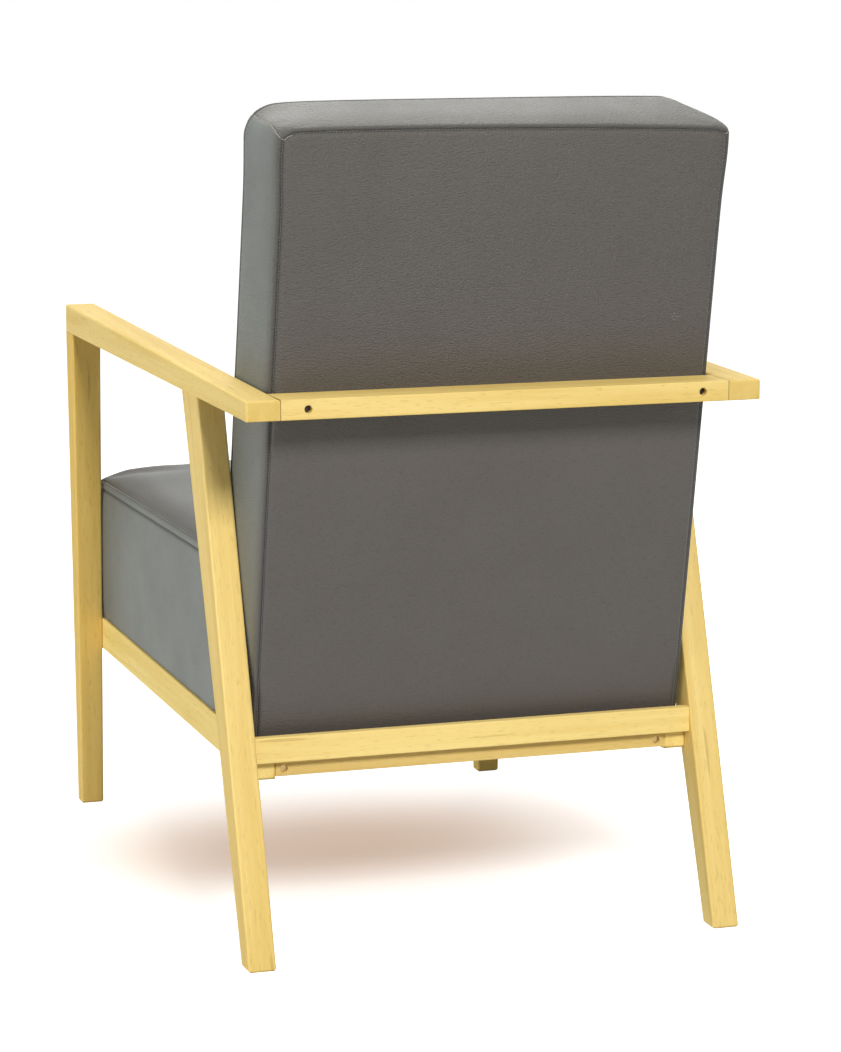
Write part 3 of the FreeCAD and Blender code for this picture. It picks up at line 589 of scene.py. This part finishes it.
def rolled(value):
    """Quarter round: steep at its start, level at its end."""
    return np.sqrt(1 - (1 - np.clip(value, 0.0, 1.0)) ** 2)


def rounded_block(point, low, high, radii_low, radii_high):
    """Points of a block pulled round its edges, with radii that may differ from place to place."""
    middle = (low + high) / 2
    radii = np.where(point > middle, radii_high, radii_low)
    core = np.clip(point, low + radii, high - radii)
    away = (point - core) / np.maximum(radii, 1e-9)
    reach = np.maximum(np.linalg.norm(away, axis=1, keepdims=True), 1e-9)
    return core + np.where(reach > 1, radii * away / reach, point - core)


def new_piece(name, mesh):
    piece = bpy.data.objects.new(name, mesh)
    bpy.context.scene.collection.objects.link(piece)
    return piece


def shade_smooth(mesh):
    mesh.polygons.foreach_set("use_smooth", [True] * len(mesh.polygons))


def points_of(mesh, kind="co"):
    flat = np.empty(len(mesh.vertices) * 3, dtype=np.float32)
    mesh.vertices.foreach_get(kind, flat)
    return flat.reshape(-1, 3).astype(float)


def put_points(mesh, points):
    mesh.vertices.foreach_set("co", points.astype(np.float32).ravel())
    mesh.update()


def swell(piece, held, room, cushions):
    """Pumps a sewn cover up between its held seams. No point goes further than its room."""
    before = points_of(piece.data)
    scene = bpy.context.scene
    group = piece.vertex_groups.new(name="held")
    group.add([int(n) for n in np.flatnonzero(held)], 1.0, "REPLACE")
    cloth = piece.modifiers.new("swell", "CLOTH")
    cloth.settings.vertex_group_mass = "held"
    for name, value in LEATHER_CLOTH.items():
        setattr(cloth.settings, name, value)
    cloth.settings.uniform_pressure_force = cushions.pressure
    cloth.settings.effector_weights.gravity = 0
    cloth.point_cache.frame_start = 1
    cloth.point_cache.frame_end = cushions.frames
    for number in range(1, cushions.frames + 1):
        scene.frame_set(number)
    shaped = piece.evaluated_get(bpy.context.evaluated_depsgraph_get())
    after = points_of(shaped.data)
    piece.modifiers.remove(cloth)
    piece.vertex_groups.remove(group)
    scene.frame_set(1)
    way = after - before
    length = np.maximum(np.linalg.norm(way, axis=1, keepdims=True), 1e-9)
    limit = np.maximum(room[:, None], 1e-9)
    before = before + way / length * limit * np.tanh(length / limit)
    put_points(piece.data, before)


def refine(piece):
    """One smooth subdivision, applied."""
    piece.modifiers.new("smooth", "SUBSURF").levels = 1
    shaped = piece.evaluated_get(bpy.context.evaluated_depsgraph_get())
    fine = bpy.data.meshes.new_from_object(shaped)
    coarse = piece.data
    piece.modifiers.clear()
    piece.data = fine
    fine.name = coarse.name
    bpy.data.meshes.remove(coarse)
    shade_smooth(fine)


def note_points(mesh, name, values):
    """Keeps a number at each point, which the leather's finish reads."""
    note = mesh.attributes.new(name, "FLOAT", "POINT")
    note.data.foreach_set("value", values.astype(np.float32))


def press_seams(mesh, gap, depth, width, shade=0.0):
    """Presses the seams into the skin and notes at each point how deep it lies or the painted shade it
    takes beside a seam, whichever is more.
    """
    share = np.exp(-(gap / width) ** 2)
    put_points(mesh, points_of(mesh) - points_of(mesh, "normal") * (share * depth)[:, None])
    note_points(mesh, "groove", np.maximum(share, shade))


def stitch_mesh(name, lines, cushions, lift, stretch):
    """Short rounded stitches, end to end along each line of points and outward turns."""
    sides, last = STITCH_SIDES, len(STITCH_RINGS) - 1
    points, faces = [], []
    for line, outward in lines:
        steps = np.array([(b - a).length for a, b in zip(line, line[1:])])
        run = np.concatenate([[0.0], np.cumsum(steps)])
        for n in range(int(run[-1] / cushions.stitch_pitch)):
            middle = (n + 0.5) * cushions.stitch_pitch
            piece = min(len(steps) - 1, int(np.searchsorted(run, middle, side="right")) - 1)
            share = (middle - run[piece]) / max(steps[piece], 1e-9)
            place = line[piece].lerp(line[piece + 1], share)
            along = (line[piece + 1] - line[piece]).normalized()
            out = outward[piece].lerp(outward[piece + 1], share)
            out = (out - along * out.dot(along)).normalized()
            across = along.cross(out)
            first = len(points)
            for position, size in STITCH_RINGS:
                dip = -0.5 * cushions.thread_radius if size < 0.5 else 0.0
                reach = position * stretch * cushions.stitch_length
                centre = place + along * reach + out * (lift + dip)
                radius = max(size, 0.12) * cushions.thread_radius
                for side in range(sides):
                    angle = 2 * math.pi * side / sides
                    points.append(centre + across * (math.cos(angle) * radius)
                                  + out * (math.sin(angle) * radius))
            for ring in range(last):
                for side in range(sides):
                    a = first + ring * sides + side
                    b = first + ring * sides + (side + 1) % sides
                    faces.append((a, b, b + sides, a + sides))
            faces.append(tuple(first + side for side in reversed(range(sides))))
            faces.append(tuple(first + last * sides + side for side in range(sides)))
    mesh = bpy.data.meshes.new(name)
    mesh.from_pydata([tuple(point) for point in points], [], faces)
    shade_smooth(mesh)
    return mesh


def onto_skin(piece, line):
    """A line laid on the finished skin, with the skin's outward turn at each point."""
    tree = BVHTree.FromPolygons([vertex.co for vertex in piece.data.vertices],
                                [tuple(face.vertices) for face in piece.data.polygons])
    found = [tree.find_nearest(point) for point in line]
    return [place for place, _, _, _ in found], [turn for _, turn, _, _ in found]


def sew(cushion, name, lines, color, cushions, lift=0.0002, stretch=1.0):
    """Sews rows of stitches on a finished cushion."""
    sewn = [onto_skin(cushion, line) for line in lines]
    thread = new_piece(name, stitch_mesh(name, sewn, cushions, lift, stretch))
    thread.data.materials.append(thread_finish(name, color))
    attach(thread, "root")


class LeanedBack:
    """Places of the leaned back: across, depth forward of the rear plane, height along the lean."""

    PIVOT_Y, PIVOT_Z = 0.290, 0.225
    RAIL_REAR_Y, RAIL_REAR_TOP, RAIL_RISE = 0.305, 0.2282, 0.0135 / 0.717

    def __init__(self, lean):
        self.sin, self.cos = math.sin(lean), math.cos(lean)

    def world(self, local):
        x, t, w = local[:, 0], local[:, 1], local[:, 2]
        return columns(x, self.PIVOT_Y + w * self.sin - t * self.cos,
                       self.PIVOT_Z + w * self.cos + t * self.sin)

    def foot(self, t):
        """Height along the lean at which the back stands on the rails, a hair above them."""
        rest = (self.RAIL_REAR_TOP - self.PIVOT_Z + REST_GAP
                + (self.RAIL_REAR_Y - self.PIVOT_Y) * self.RAIL_RISE)
        slope = self.cos * self.RAIL_RISE - self.sin
        return (rest + t * slope) / (self.cos + self.sin * self.RAIL_RISE)


def rail_top(y):
    """Height of the side rails, which rise to the front."""
    return LeanedBack.RAIL_REAR_TOP + (LeanedBack.RAIL_REAR_Y - y) * LeanedBack.RAIL_RISE


def back_local(block, cushions):
    """Form of the back in its own upright space, from the stations of its cover."""
    half, top, depth = cushions.back_half_width, cushions.back_height, cushions.back_depth
    lean = LeanedBack(cushions.back_lean)
    x, t, share = block[:, 0], block[:, 1], block[:, 2]
    foot = lean.foot(t)
    w = foot + (top - foot) * share
    mitre = 0.004 + 0.030 * smooth(t / depth)
    low = np.array([-half, 0.0, -1.0])
    high = np.array([half, depth, top])
    rear_round, front_round = 0.0025, 0.018
    local = rounded_block(columns(x, t, w), low, high,
                          columns(mitre, rear_round, 0.0), columns(mitre, front_round, mitre))
    across, t, w = local[:, 0], local[:, 1], local[:, 2]
    side = np.clip(np.abs(across) / half, 0, 1)
    up = smooth((w - top + 0.09) / 0.09)
    # The borders roll out beyond the rear seam, a little more just below the top corners.
    x = across * (1 + cushions.back_roll / half * rolled(t / 0.015))
    corner = np.exp(-((w - top + 0.022) / 0.040) ** 2)
    x = x + np.sign(x) * smooth((side - 0.6) / 0.4) * 0.0022 * corner
    # The top border rises from its seam, and the seam is tucked in at the two corners.
    w = w + up * (cushions.back_crown - 0.002) * rolled(t / 0.020) * (1 - 0.25 * side ** 4)
    tuck = np.where(across > 0, 0.0075, 0.0035) * np.exp(-((half - np.abs(across)) / 0.009) ** 2)
    w = w + up * (0.0032 * across / half - tuck * np.exp(-(t / 0.03) ** 2))
    # The front of the top border hangs lower on the sitter's left.
    forward = smooth(t / (0.8 * depth))
    droop = 0.0009 + 0.0032 * across / half + 0.003 * np.exp(-((half - across) / 0.03) ** 2)
    w = w + up * (0.0028 * (1 - forward) * (1 - side ** 2) - droop * forward)
    # The front panel swells at the loins.
    front = smooth((t - depth / 2) / (depth / 2))
    loins = smooth(np.interp(w, [0.20, 0.34, 0.52, 0.70], [0, 1, 1, 0]))
    t = t + front * (0.002 + (cushions.back_lumbar - 0.001) * loins) * (1 - side ** 3)
    return columns(x, t, w)


class CHAIR_OT_beech_frame(bpy.types.Operator):
    """Finishes the arms, legs and rails in lacquered beech, each with its own run of grain"""
    bl_idname = "chair.beech_frame"
    bl_label = "Beech Frame"

    def execute(self, context):
        finish = context.scene.lounge_chair.finish
        marks = {"beech_arms": {"end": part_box("left_armrest")[1].y},
                 "beech_upper_rail": {"joint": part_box("upper_back_rail")[1].x}}
        for names, material, turn, shift, tone in BEECH_PIECES:
            dress(names, beech_finish(material, finish, turn, shift, tone, **marks.get(material, {})))
        return {"FINISHED"}


class CHAIR_OT_fixings(bpy.types.Operator):
    """Finishes the screws, bolts and dowels"""
    bl_idname = "chair.fixings"
    bl_label = "Fixings"

    def execute(self, context):
        finish = context.scene.lounge_chair.finish
        dress(SCREWS, steel_finish("screw_steel", finish.steel))
        dress(ZINC_SCREWS, steel_finish("screw_zinc", finish.zinc))
        dress(DOWELS, timber_finish("dowel_wood", tinted(finish.timber, 1.15), 0.4))
        return {"FINISHED"}


class CHAIR_OT_inner_frames(bpy.types.Operator):
    """Finishes the timber and straps of the back and the seat, and hangs the dust cloth under them"""
    bl_idname = "chair.inner_frames"
    bl_label = "Inner Frames"

    def execute(self, context):
        finish = context.scene.lounge_chair.finish
        dress(INNER_TIMBER, timber_finish("inner_timber", finish.timber, 0.0))
        dress(STRAPS, woven_finish("strap_weave", finish.strap, 0.0016, 0.9))
        low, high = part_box("seat_dust_cover")
        width, length = high.x - low.x, high.y - low.y
        count, depth_of_sag = 40, 0.006
        points, faces = [], []
        for j in range(count + 1):
            for i in range(count + 1):
                u, v = i / count, j / count
                sag = depth_of_sag * (16 * u * (1 - u) * v * (1 - v)) ** 0.8
                y = low.y + length * v
                points.append((low.x + width * u, y, rail_top(y) + 0.0006 - sag))
        for j in range(count):
            for i in range(count):
                a = j * (count + 1) + i
                faces.append((a, a + 1, a + count + 2, a + count + 1))
        mesh = bpy.data.meshes.new("dust_cloth")
        mesh.from_pydata(points, [], faces)
        shade_smooth(mesh)
        cloth = new_piece("dust_cloth", mesh)
        mesh.materials.append(woven_finish("dust_cloth", finish.dust_cloth, 0.0011, 0.95))
        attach(cloth, "root")
        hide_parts("seat_dust_cover")
        return {"FINISHED"}


class CHAIR_OT_back_cushion(bpy.types.Operator):
    """Makes the leather back: rear panel, borders and front panel swollen between their seams"""
    bl_idname = "chair.back_cushion"
    bl_label = "Back"

    def execute(self, context):
        chair = context.scene.lounge_chair
        cushions = chair.cushions
        half, depth = cushions.back_half_width, cushions.back_depth
        step = cushions.mesh_step
        lean = LeanedBack(cushions.back_lean)
        tall = cushions.back_height
        cover = Cover([
            stations(-half, half, step, BACK_SEAM_ROWS, BACK_SEAM_ROWS),
            stations(0.0, depth, step, BACK_SEAM_ROWS, BACK_ROUND_ROWS),
            stations(0.0, 1.0, step / tall,
                     scaled_rows(FOOT_ROWS, tall), scaled_rows(BACK_SEAM_ROWS, tall)),
        ])
        local = back_local(cover.block, cushions)
        x, t, share = cover.block.T
        on_rear = cover.keys[:, 1] == 0
        on_front = cover.keys[:, 1] == cover.last[1]
        on_foot = cover.keys[:, 2] == 0
        to_side = half - np.abs(x)
        to_top = (1 - share) * tall
        to_edge = np.minimum(to_side, to_top)
        # Distance of each point from the rear seam, the front seam and the mitres of the corners.
        front_seam = depth - FRONT_SEAM_INSET
        far = 1.0
        gap_rear = np.where(on_rear, to_edge, t)
        gap_front = np.where(on_front, FRONT_SEAM_INSET + to_edge, np.abs(t - front_seam))
        gap_mitre = np.where(on_rear | on_front, far, np.maximum(to_side, to_top))
        gap_mitre = np.where((to_side < 0.08) & (to_top < 0.08), gap_mitre, far)
        gap = np.minimum(np.minimum(gap_rear, gap_front), gap_mitre + 0.0026)
        held = (gap < HELD_WIDTH) | (share < 0.02) | on_foot
        world = lean.world(local)
        # Room to swell, with little of it beside the upper rail and the arms.
        room = np.where(on_rear, 0.0030, np.where(on_front, 0.010, 0.0025))
        rail_low, rail_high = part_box("upper_back_rail")
        near_rail = np.exp(-((world[:, 2] - (rail_low.z + rail_high.z) / 2) / 0.035) ** 2)
        room = room * np.where(on_rear, 1 - near_rail, 1.0)
        by_arm = np.exp(-((world[:, 2] - ARM_HEIGHT) / 0.06) ** 2)
        room = np.where(on_rear | on_front, room, room * (1 - 0.8 * by_arm))
        piece = new_piece("back_cushion", cover.mesh("back_cushion", world))
        swell(piece, held, room, cushions)
        beside = (to_side < 1e-6) & ~on_rear & ~on_front & (to_top > 1e-6)
        # Painted shade on the rolled border beside the rear seam, where it turns toward the rear.
        shade = np.where(on_rear, 0.0, 0.40 * np.exp(-(t / 0.012) ** 2))
        press_seams(piece.data, gap, cushions.seam_depth, 0.0022, shade)
        # Notes the side borders, which take the painted side light.
        note_points(piece.data, "border", beside * smooth((t - 0.002) / 0.022))
        skin = points_of(piece.data)
        last_x, last_t, last_w = cover.last
        seam_t = int(np.argmin(np.abs(cover.rows[1] - front_seam)))
        rear_lines, pale_lines, corner_lines = [], [], []
        for end in (0, last_x):
            rear_lines.append(cover.line(skin, [(end, 0, k) for k in range(last_w + 1)]))
            pale_lines.append(cover.line(skin, [(end, seam_t, k) for k in range(last_w + 1)]))
            corner_lines.append(cover.line(skin, [(end, j, last_w) for j in range(seam_t + 1)]))
        rear_lines.append(cover.line(skin, [(i, 0, last_w) for i in range(last_x + 1)]))
        pale_lines.append(cover.line(skin, [(i, seam_t, last_w) for i in range(last_x + 1)]))
        corner_lines.append(cover.line(skin, [(last_x - n, 0, last_w) for n in range(6)]))
        refine(piece)
        scuff = tuple(lean.world(np.array([[-0.205, 0.0, 0.475]]))[0])
        piece.data.materials.append(leather_finish("back_leather", chair.finish, scuff))
        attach(piece, "root")
        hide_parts(*BACK_COVER, "back_foam")
        thread = tuple(chair.finish.thread)
        # Painted shade: the rear stitches take a darker copy of the thread, for the shade in their
        # groove.
        sew(piece, "back_rear_stitches", rear_lines, tinted(thread, 0.42), cushions)
        sew(piece, "back_border_stitches", pale_lines, thread, cushions)
        sew(piece, "back_corner_stitches", corner_lines, thread, cushions,
            lift=0.0008, stretch=1.25)
        return {"FINISHED"}


def seat_world(block, cushions):
    """Form of the seat, from stations across it and in shares of its depth and height, and its rear."""
    half, front, edge = cushions.seat_half_width, cushions.seat_front, cushions.seat_edge
    lean = LeanedBack(cushions.back_lean)
    x, deep, tall = block[:, 0], block[:, 1], block[:, 2]
    meet = cushions.back_depth + 0.003
    slope = lean.sin / lean.cos

    def rear(z):
        along = (z - lean.PIVOT_Z - meet * lean.sin) * slope
        return lean.PIVOT_Y + along - meet * lean.cos

    y = front + (rear(edge) - front) * deep
    low = rail_top(y) + REST_GAP
    z = low + (edge - low) * tall
    back = rear(z) - SEAT_REAR_GAP
    y = front + (back - front) * deep
    corner = np.full_like(x, 0.005)
    flat = rounded_block(columns(x, y, 0.0), np.array([-half, front, -1.0]), columns(half, back, 1.0),
                         columns(corner, corner, 0.0), columns(corner, 0.4 * corner, 0.0))
    x, y = flat[:, 0], flat[:, 1]
    belly = np.clip(np.sin(np.pi * np.clip(tall, 0, 1)), 0, 1) ** 0.35
    side = smooth((np.abs(x) / half - 0.9) / 0.1)
    x = x + np.sign(x) * side * 0.0008 * belly
    y = y - smooth((0.03 - (y - front)) / 0.03) * 0.0020 * belly
    return columns(x, y, z), rear


def shoulder(gap):
    """Rise of the seat's top with the distance from its edge: steep at first, then slow."""
    return 0.8 * (1 - (1 - np.clip(gap / 0.036, 0, 1)) ** 2.2) + 0.2 * smooth(gap / 0.24)


class CHAIR_OT_seat_cushion(bpy.types.Operator):
    """Makes the leather seat: crowned top panel, borders and the double line of its edge seam"""
    bl_idname = "chair.seat_cushion"
    bl_label = "Seat"

    def execute(self, context):
        chair = context.scene.lounge_chair
        cushions = chair.cushions
        half, front, edge = cushions.seat_half_width, cushions.seat_front, cushions.seat_edge
        step = cushions.mesh_step
        foot, deep = 0.235, 0.58
        tall = edge - foot
        deep_rows = scaled_rows(SEAT_SEAM_ROWS, deep)
        cover = Cover([
            stations(-half, half, step, SEAT_SEAM_ROWS, SEAT_SEAM_ROWS),
            stations(0.0, 1.0, step / deep, deep_rows, deep_rows),
            stations(0.0, 1.0, step / tall,
                     scaled_rows(FOOT_ROWS, tall), scaled_rows(SEAT_EDGE_ROWS, tall)),
        ])
        world, rear = seat_world(cover.block, cushions)
        on_top = cover.keys[:, 2] == cover.last[2]
        on_foot = cover.keys[:, 2] == 0
        on_rear = cover.keys[:, 1] == cover.last[1]
        x, y = world[:, 0], world[:, 1]
        to_side = half - np.abs(x)
        to_front = y - front
        to_rear = rear(edge) - y
        rise = (shoulder(to_side) * np.clip(shoulder(to_front) * 1.12, 0, 1)
                * np.clip(shoulder(to_rear * 2.0) * 1.1, 0, 1))
        world[:, 2] += np.where(on_top, (cushions.seat_crown - 0.004) * rise, 0)
        down = edge - world[:, 2]
        to_edge = np.minimum(np.minimum(to_side, to_front), to_rear)
        gap = np.where(on_top, to_edge, np.abs(down))
        second = np.where(on_top | on_foot, 1.0, np.abs(down - SECOND_SEAM_DROP))
        held = ((gap < HELD_WIDTH) | (second < 0.0030) | (world[:, 2] < rail_top(y) + FOOT_ROWS[-1])
                | on_rear)
        room = np.where(on_top, 0.0075, np.where(np.abs(x) > half - 0.004, 0.0012, 0.0022))
        piece = new_piece("seat_cushion", cover.mesh("seat_cushion", world))
        swell(piece, held, room, cushions)
        press_seams(piece.data, np.minimum(gap, second * 1.4), cushions.seam_depth * 0.75, 0.0019)
        on_side = (cover.keys[:, 0] == 0) | (cover.keys[:, 0] == cover.last[0])
        # Notes the side borders, which take the painted side light.
        note_points(piece.data, "border", on_side & ~on_top)
        skin = points_of(piece.data)
        last_x, last_y, last_z = cover.last
        second_row = int(np.argmin(np.abs(cover.rows[2] - (1 - SECOND_SEAM_DROP / tall))))
        lines = []
        for row in (last_z, second_row):
            ring = [(i, 0, row) for i in range(last_x)]
            ring += [(last_x, j, row) for j in range(last_y)]
            ring += [(i, last_y, row) for i in range(last_x, 0, -1)]
            ring += [(0, j, row) for j in range(last_y, -1, -1)]
            lines.append(cover.line(skin, ring))
        refine(piece)
        piece.data.materials.append(leather_finish("seat_leather", chair.finish))
        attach(piece, "root")
        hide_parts(*SEAT_COVER, "seat_foam")
        thread = tuple(chair.finish.thread)
        sew(piece, "seat_edge_stitches", lines[:1], thread, cushions)
        # Painted shade: the lower stitches take a darker copy of the thread, for the shade in their
        # groove.
        sew(piece, "seat_border_stitches", lines[1:], tinted(thread, 0.30), cushions)
        return {"FINISHED"}


def seen_directly(tree):
    """One for rays from the camera and for those in reflections and glass, zero for others."""
    seen = tree.nodes.new("ShaderNodeLightPath")
    share = seen.outputs["Is Camera Ray"]
    for name in ("Is Glossy Ray", "Is Transmission Ray"):
        either = tree.nodes.new("ShaderNodeMath")
        either.operation = "MAXIMUM"
        tree.links.new(share, either.inputs[0])
        tree.links.new(seen.outputs[name], either.inputs[1])
        share = either.outputs[0]
    return share


def join(tree, kind, *sources):
    """A shader node fed in order by the sources."""
    node = tree.nodes.new(kind)
    for socket, source in zip(node.inputs, sources):
        tree.links.new(source, socket)
    return node.outputs[0]


def light_node(tree, kind, color, strength):
    node = tree.nodes.new(kind)
    node.inputs["Color"].default_value = color
    node.inputs["Strength"].default_value = strength
    return node


class CHAIR_OT_stage(bpy.types.Operator):
    """Sets the floor, the soft light and the camera"""
    bl_idname = "chair.stage"
    bl_label = "Stage"

    def execute(self, context):
        stage = context.scene.lounge_chair.stage
        scene = context.scene
        scene.view_settings.view_transform = "Standard"
        mesh = bpy.data.meshes.new("floor")
        corners = ((-1, -1), (1, -1), (1, 1), (-1, 1))
        mesh.from_pydata([(x * FLOOR_REACH, y * FLOOR_REACH, 0) for x, y in corners], [], [(0, 1, 2, 3)])
        floor = new_piece("floor", mesh)
        mesh.materials.append(self.floor_finish(stage))
        self.sky(scene, stage.sky)
        for setting, place, target, size, color in LAMPS:
            self.lamp(f"{setting}_lamp", place, target, size, getattr(stage, setting), color)
        data = bpy.data.cameras.new("camera")
        data.sensor_fit = "VERTICAL"
        data.sensor_height = 36.0
        data.lens = stage.camera_lens
        camera = bpy.data.objects.new("camera", data)
        camera.location = stage.camera_place
        camera.rotation_euler = Euler(stage.camera_turn)
        scene.collection.objects.link(camera)
        scene.camera = camera
        return {"FINISHED"}

    @staticmethod
    def floor_finish(stage):
        """Plain floor for the light, which takes the lamps' real shadow; for the camera it also glows
        white, less under the chair, where the warm painted shadow in its glow gives the shadow most of
        its colour and outline.
        """
        nodes = Nodes("floor")
        tree = nodes.tree
        speckle = nodes.noise(nodes.coordinates, 3, 2)
        nodes.set(Base_Color=nodes.mix(nodes.ramp(speckle, 0.3, 0.7, 0, 0.3), tuple(stage.floor),
                                       tinted(stage.floor, 0.99)),
                  Roughness=0.8, Specular_IOR_Level=0.1)
        white = (1.0, 1.0, 1.0, 1.0)
        # The glow is the warm painted shadow near the middle of the chair, fading to white further out.
        flat = nodes.vector_math("MULTIPLY", nodes.coordinates, (1.42, 2.2, 0.0))
        far = nodes.ramp(nodes.vector_math("DISTANCE", flat, (0.06, -0.22, 0.0)), 0.08, 0.92)
        glow = light_node(tree, "ShaderNodeEmission", white, 1.0)
        nodes.feed(glow.inputs["Color"], nodes.mix(far, PAINTED_SHADOW_COLOR, white))
        dark = light_node(tree, "ShaderNodeEmission", white, 0.0)
        pick = join(tree, "ShaderNodeMixShader", seen_directly(tree), dark.outputs[0], glow.outputs[0])
        both = join(tree, "ShaderNodeAddShader", nodes.shader.outputs[0], pick)
        out = next(node for node in tree.nodes if node.type == "OUTPUT_MATERIAL")
        tree.links.new(both, out.inputs[0])
        return nodes.material

    @staticmethod
    def sky(scene, strength):
        """Soft light from all around, seen as white."""
        world = bpy.data.worlds.new("room")
        world.use_nodes = True
        tree = world.node_tree
        tree.nodes.clear()
        light = light_node(tree, "ShaderNodeBackground", SKY_COLOR, strength)
        white = light_node(tree, "ShaderNodeBackground", (1.0, 1.0, 1.0, 1.0), 1.0)
        pick = join(tree, "ShaderNodeMixShader", seen_directly(tree), light.outputs[0], white.outputs[0])
        tree.links.new(pick, tree.nodes.new("ShaderNodeOutputWorld").inputs[0])
        scene.world = world

    @staticmethod
    def lamp(name, place, target, size, power, color):
        data = bpy.data.lights.new(name, "AREA")
        data.shape = "SQUARE"
        data.size = size
        data.energy = power
        data.color = color
        lamp = bpy.data.objects.new(name, data)
        lamp.location = place
        lamp.rotation_euler = (Vector(target) - Vector(place)).to_track_quat("-Z", "Y").to_euler()
        bpy.context.scene.collection.objects.link(lamp)


class CHAIR_PT_panel(bpy.types.Panel):
    """Pieces and finishes of the lounge chair"""
    bl_label = "Lounge Chair"
    bl_idname = "CHAIR_PT_panel"
    bl_space_type = "VIEW_3D"
    bl_region_type = "UI"
    bl_category = "Lounge Chair"

    def draw(self, context):
        chair = context.scene.lounge_chair
        for operator in OPERATORS:
            self.layout.operator(operator.bl_idname)
        for title, group in (("Finish", chair.finish), ("Cushions", chair.cushions),
                             ("Stage", chair.stage)):
            box = self.layout.box()
            box.label(text=title)
            for name in group.__annotations__:
                box.prop(group, name)


OPERATORS = (CHAIR_OT_beech_frame, CHAIR_OT_fixings, CHAIR_OT_inner_frames, CHAIR_OT_back_cushion,
             CHAIR_OT_seat_cushion, CHAIR_OT_stage)
CLASSES = (ChairFinish, ChairCushions, ChairStage, LoungeChair, *OPERATORS, CHAIR_PT_panel)


def register():
    for item in CLASSES:
        bpy.utils.register_class(item)
    bpy.types.Scene.lounge_chair = PointerProperty(type=LoungeChair)


def unregister():
    del bpy.types.Scene.lounge_chair
    for item in reversed(CLASSES):
        bpy.utils.unregister_class(item)


def main():
    register()
    bpy.ops.chair.stage()
    bpy.ops.chair.beech_frame()
    bpy.ops.chair.fixings()
    bpy.ops.chair.inner_frames()
    bpy.ops.chair.back_cushion()
    bpy.ops.chair.seat_cushion()


if __name__ == "__main__":
    main()
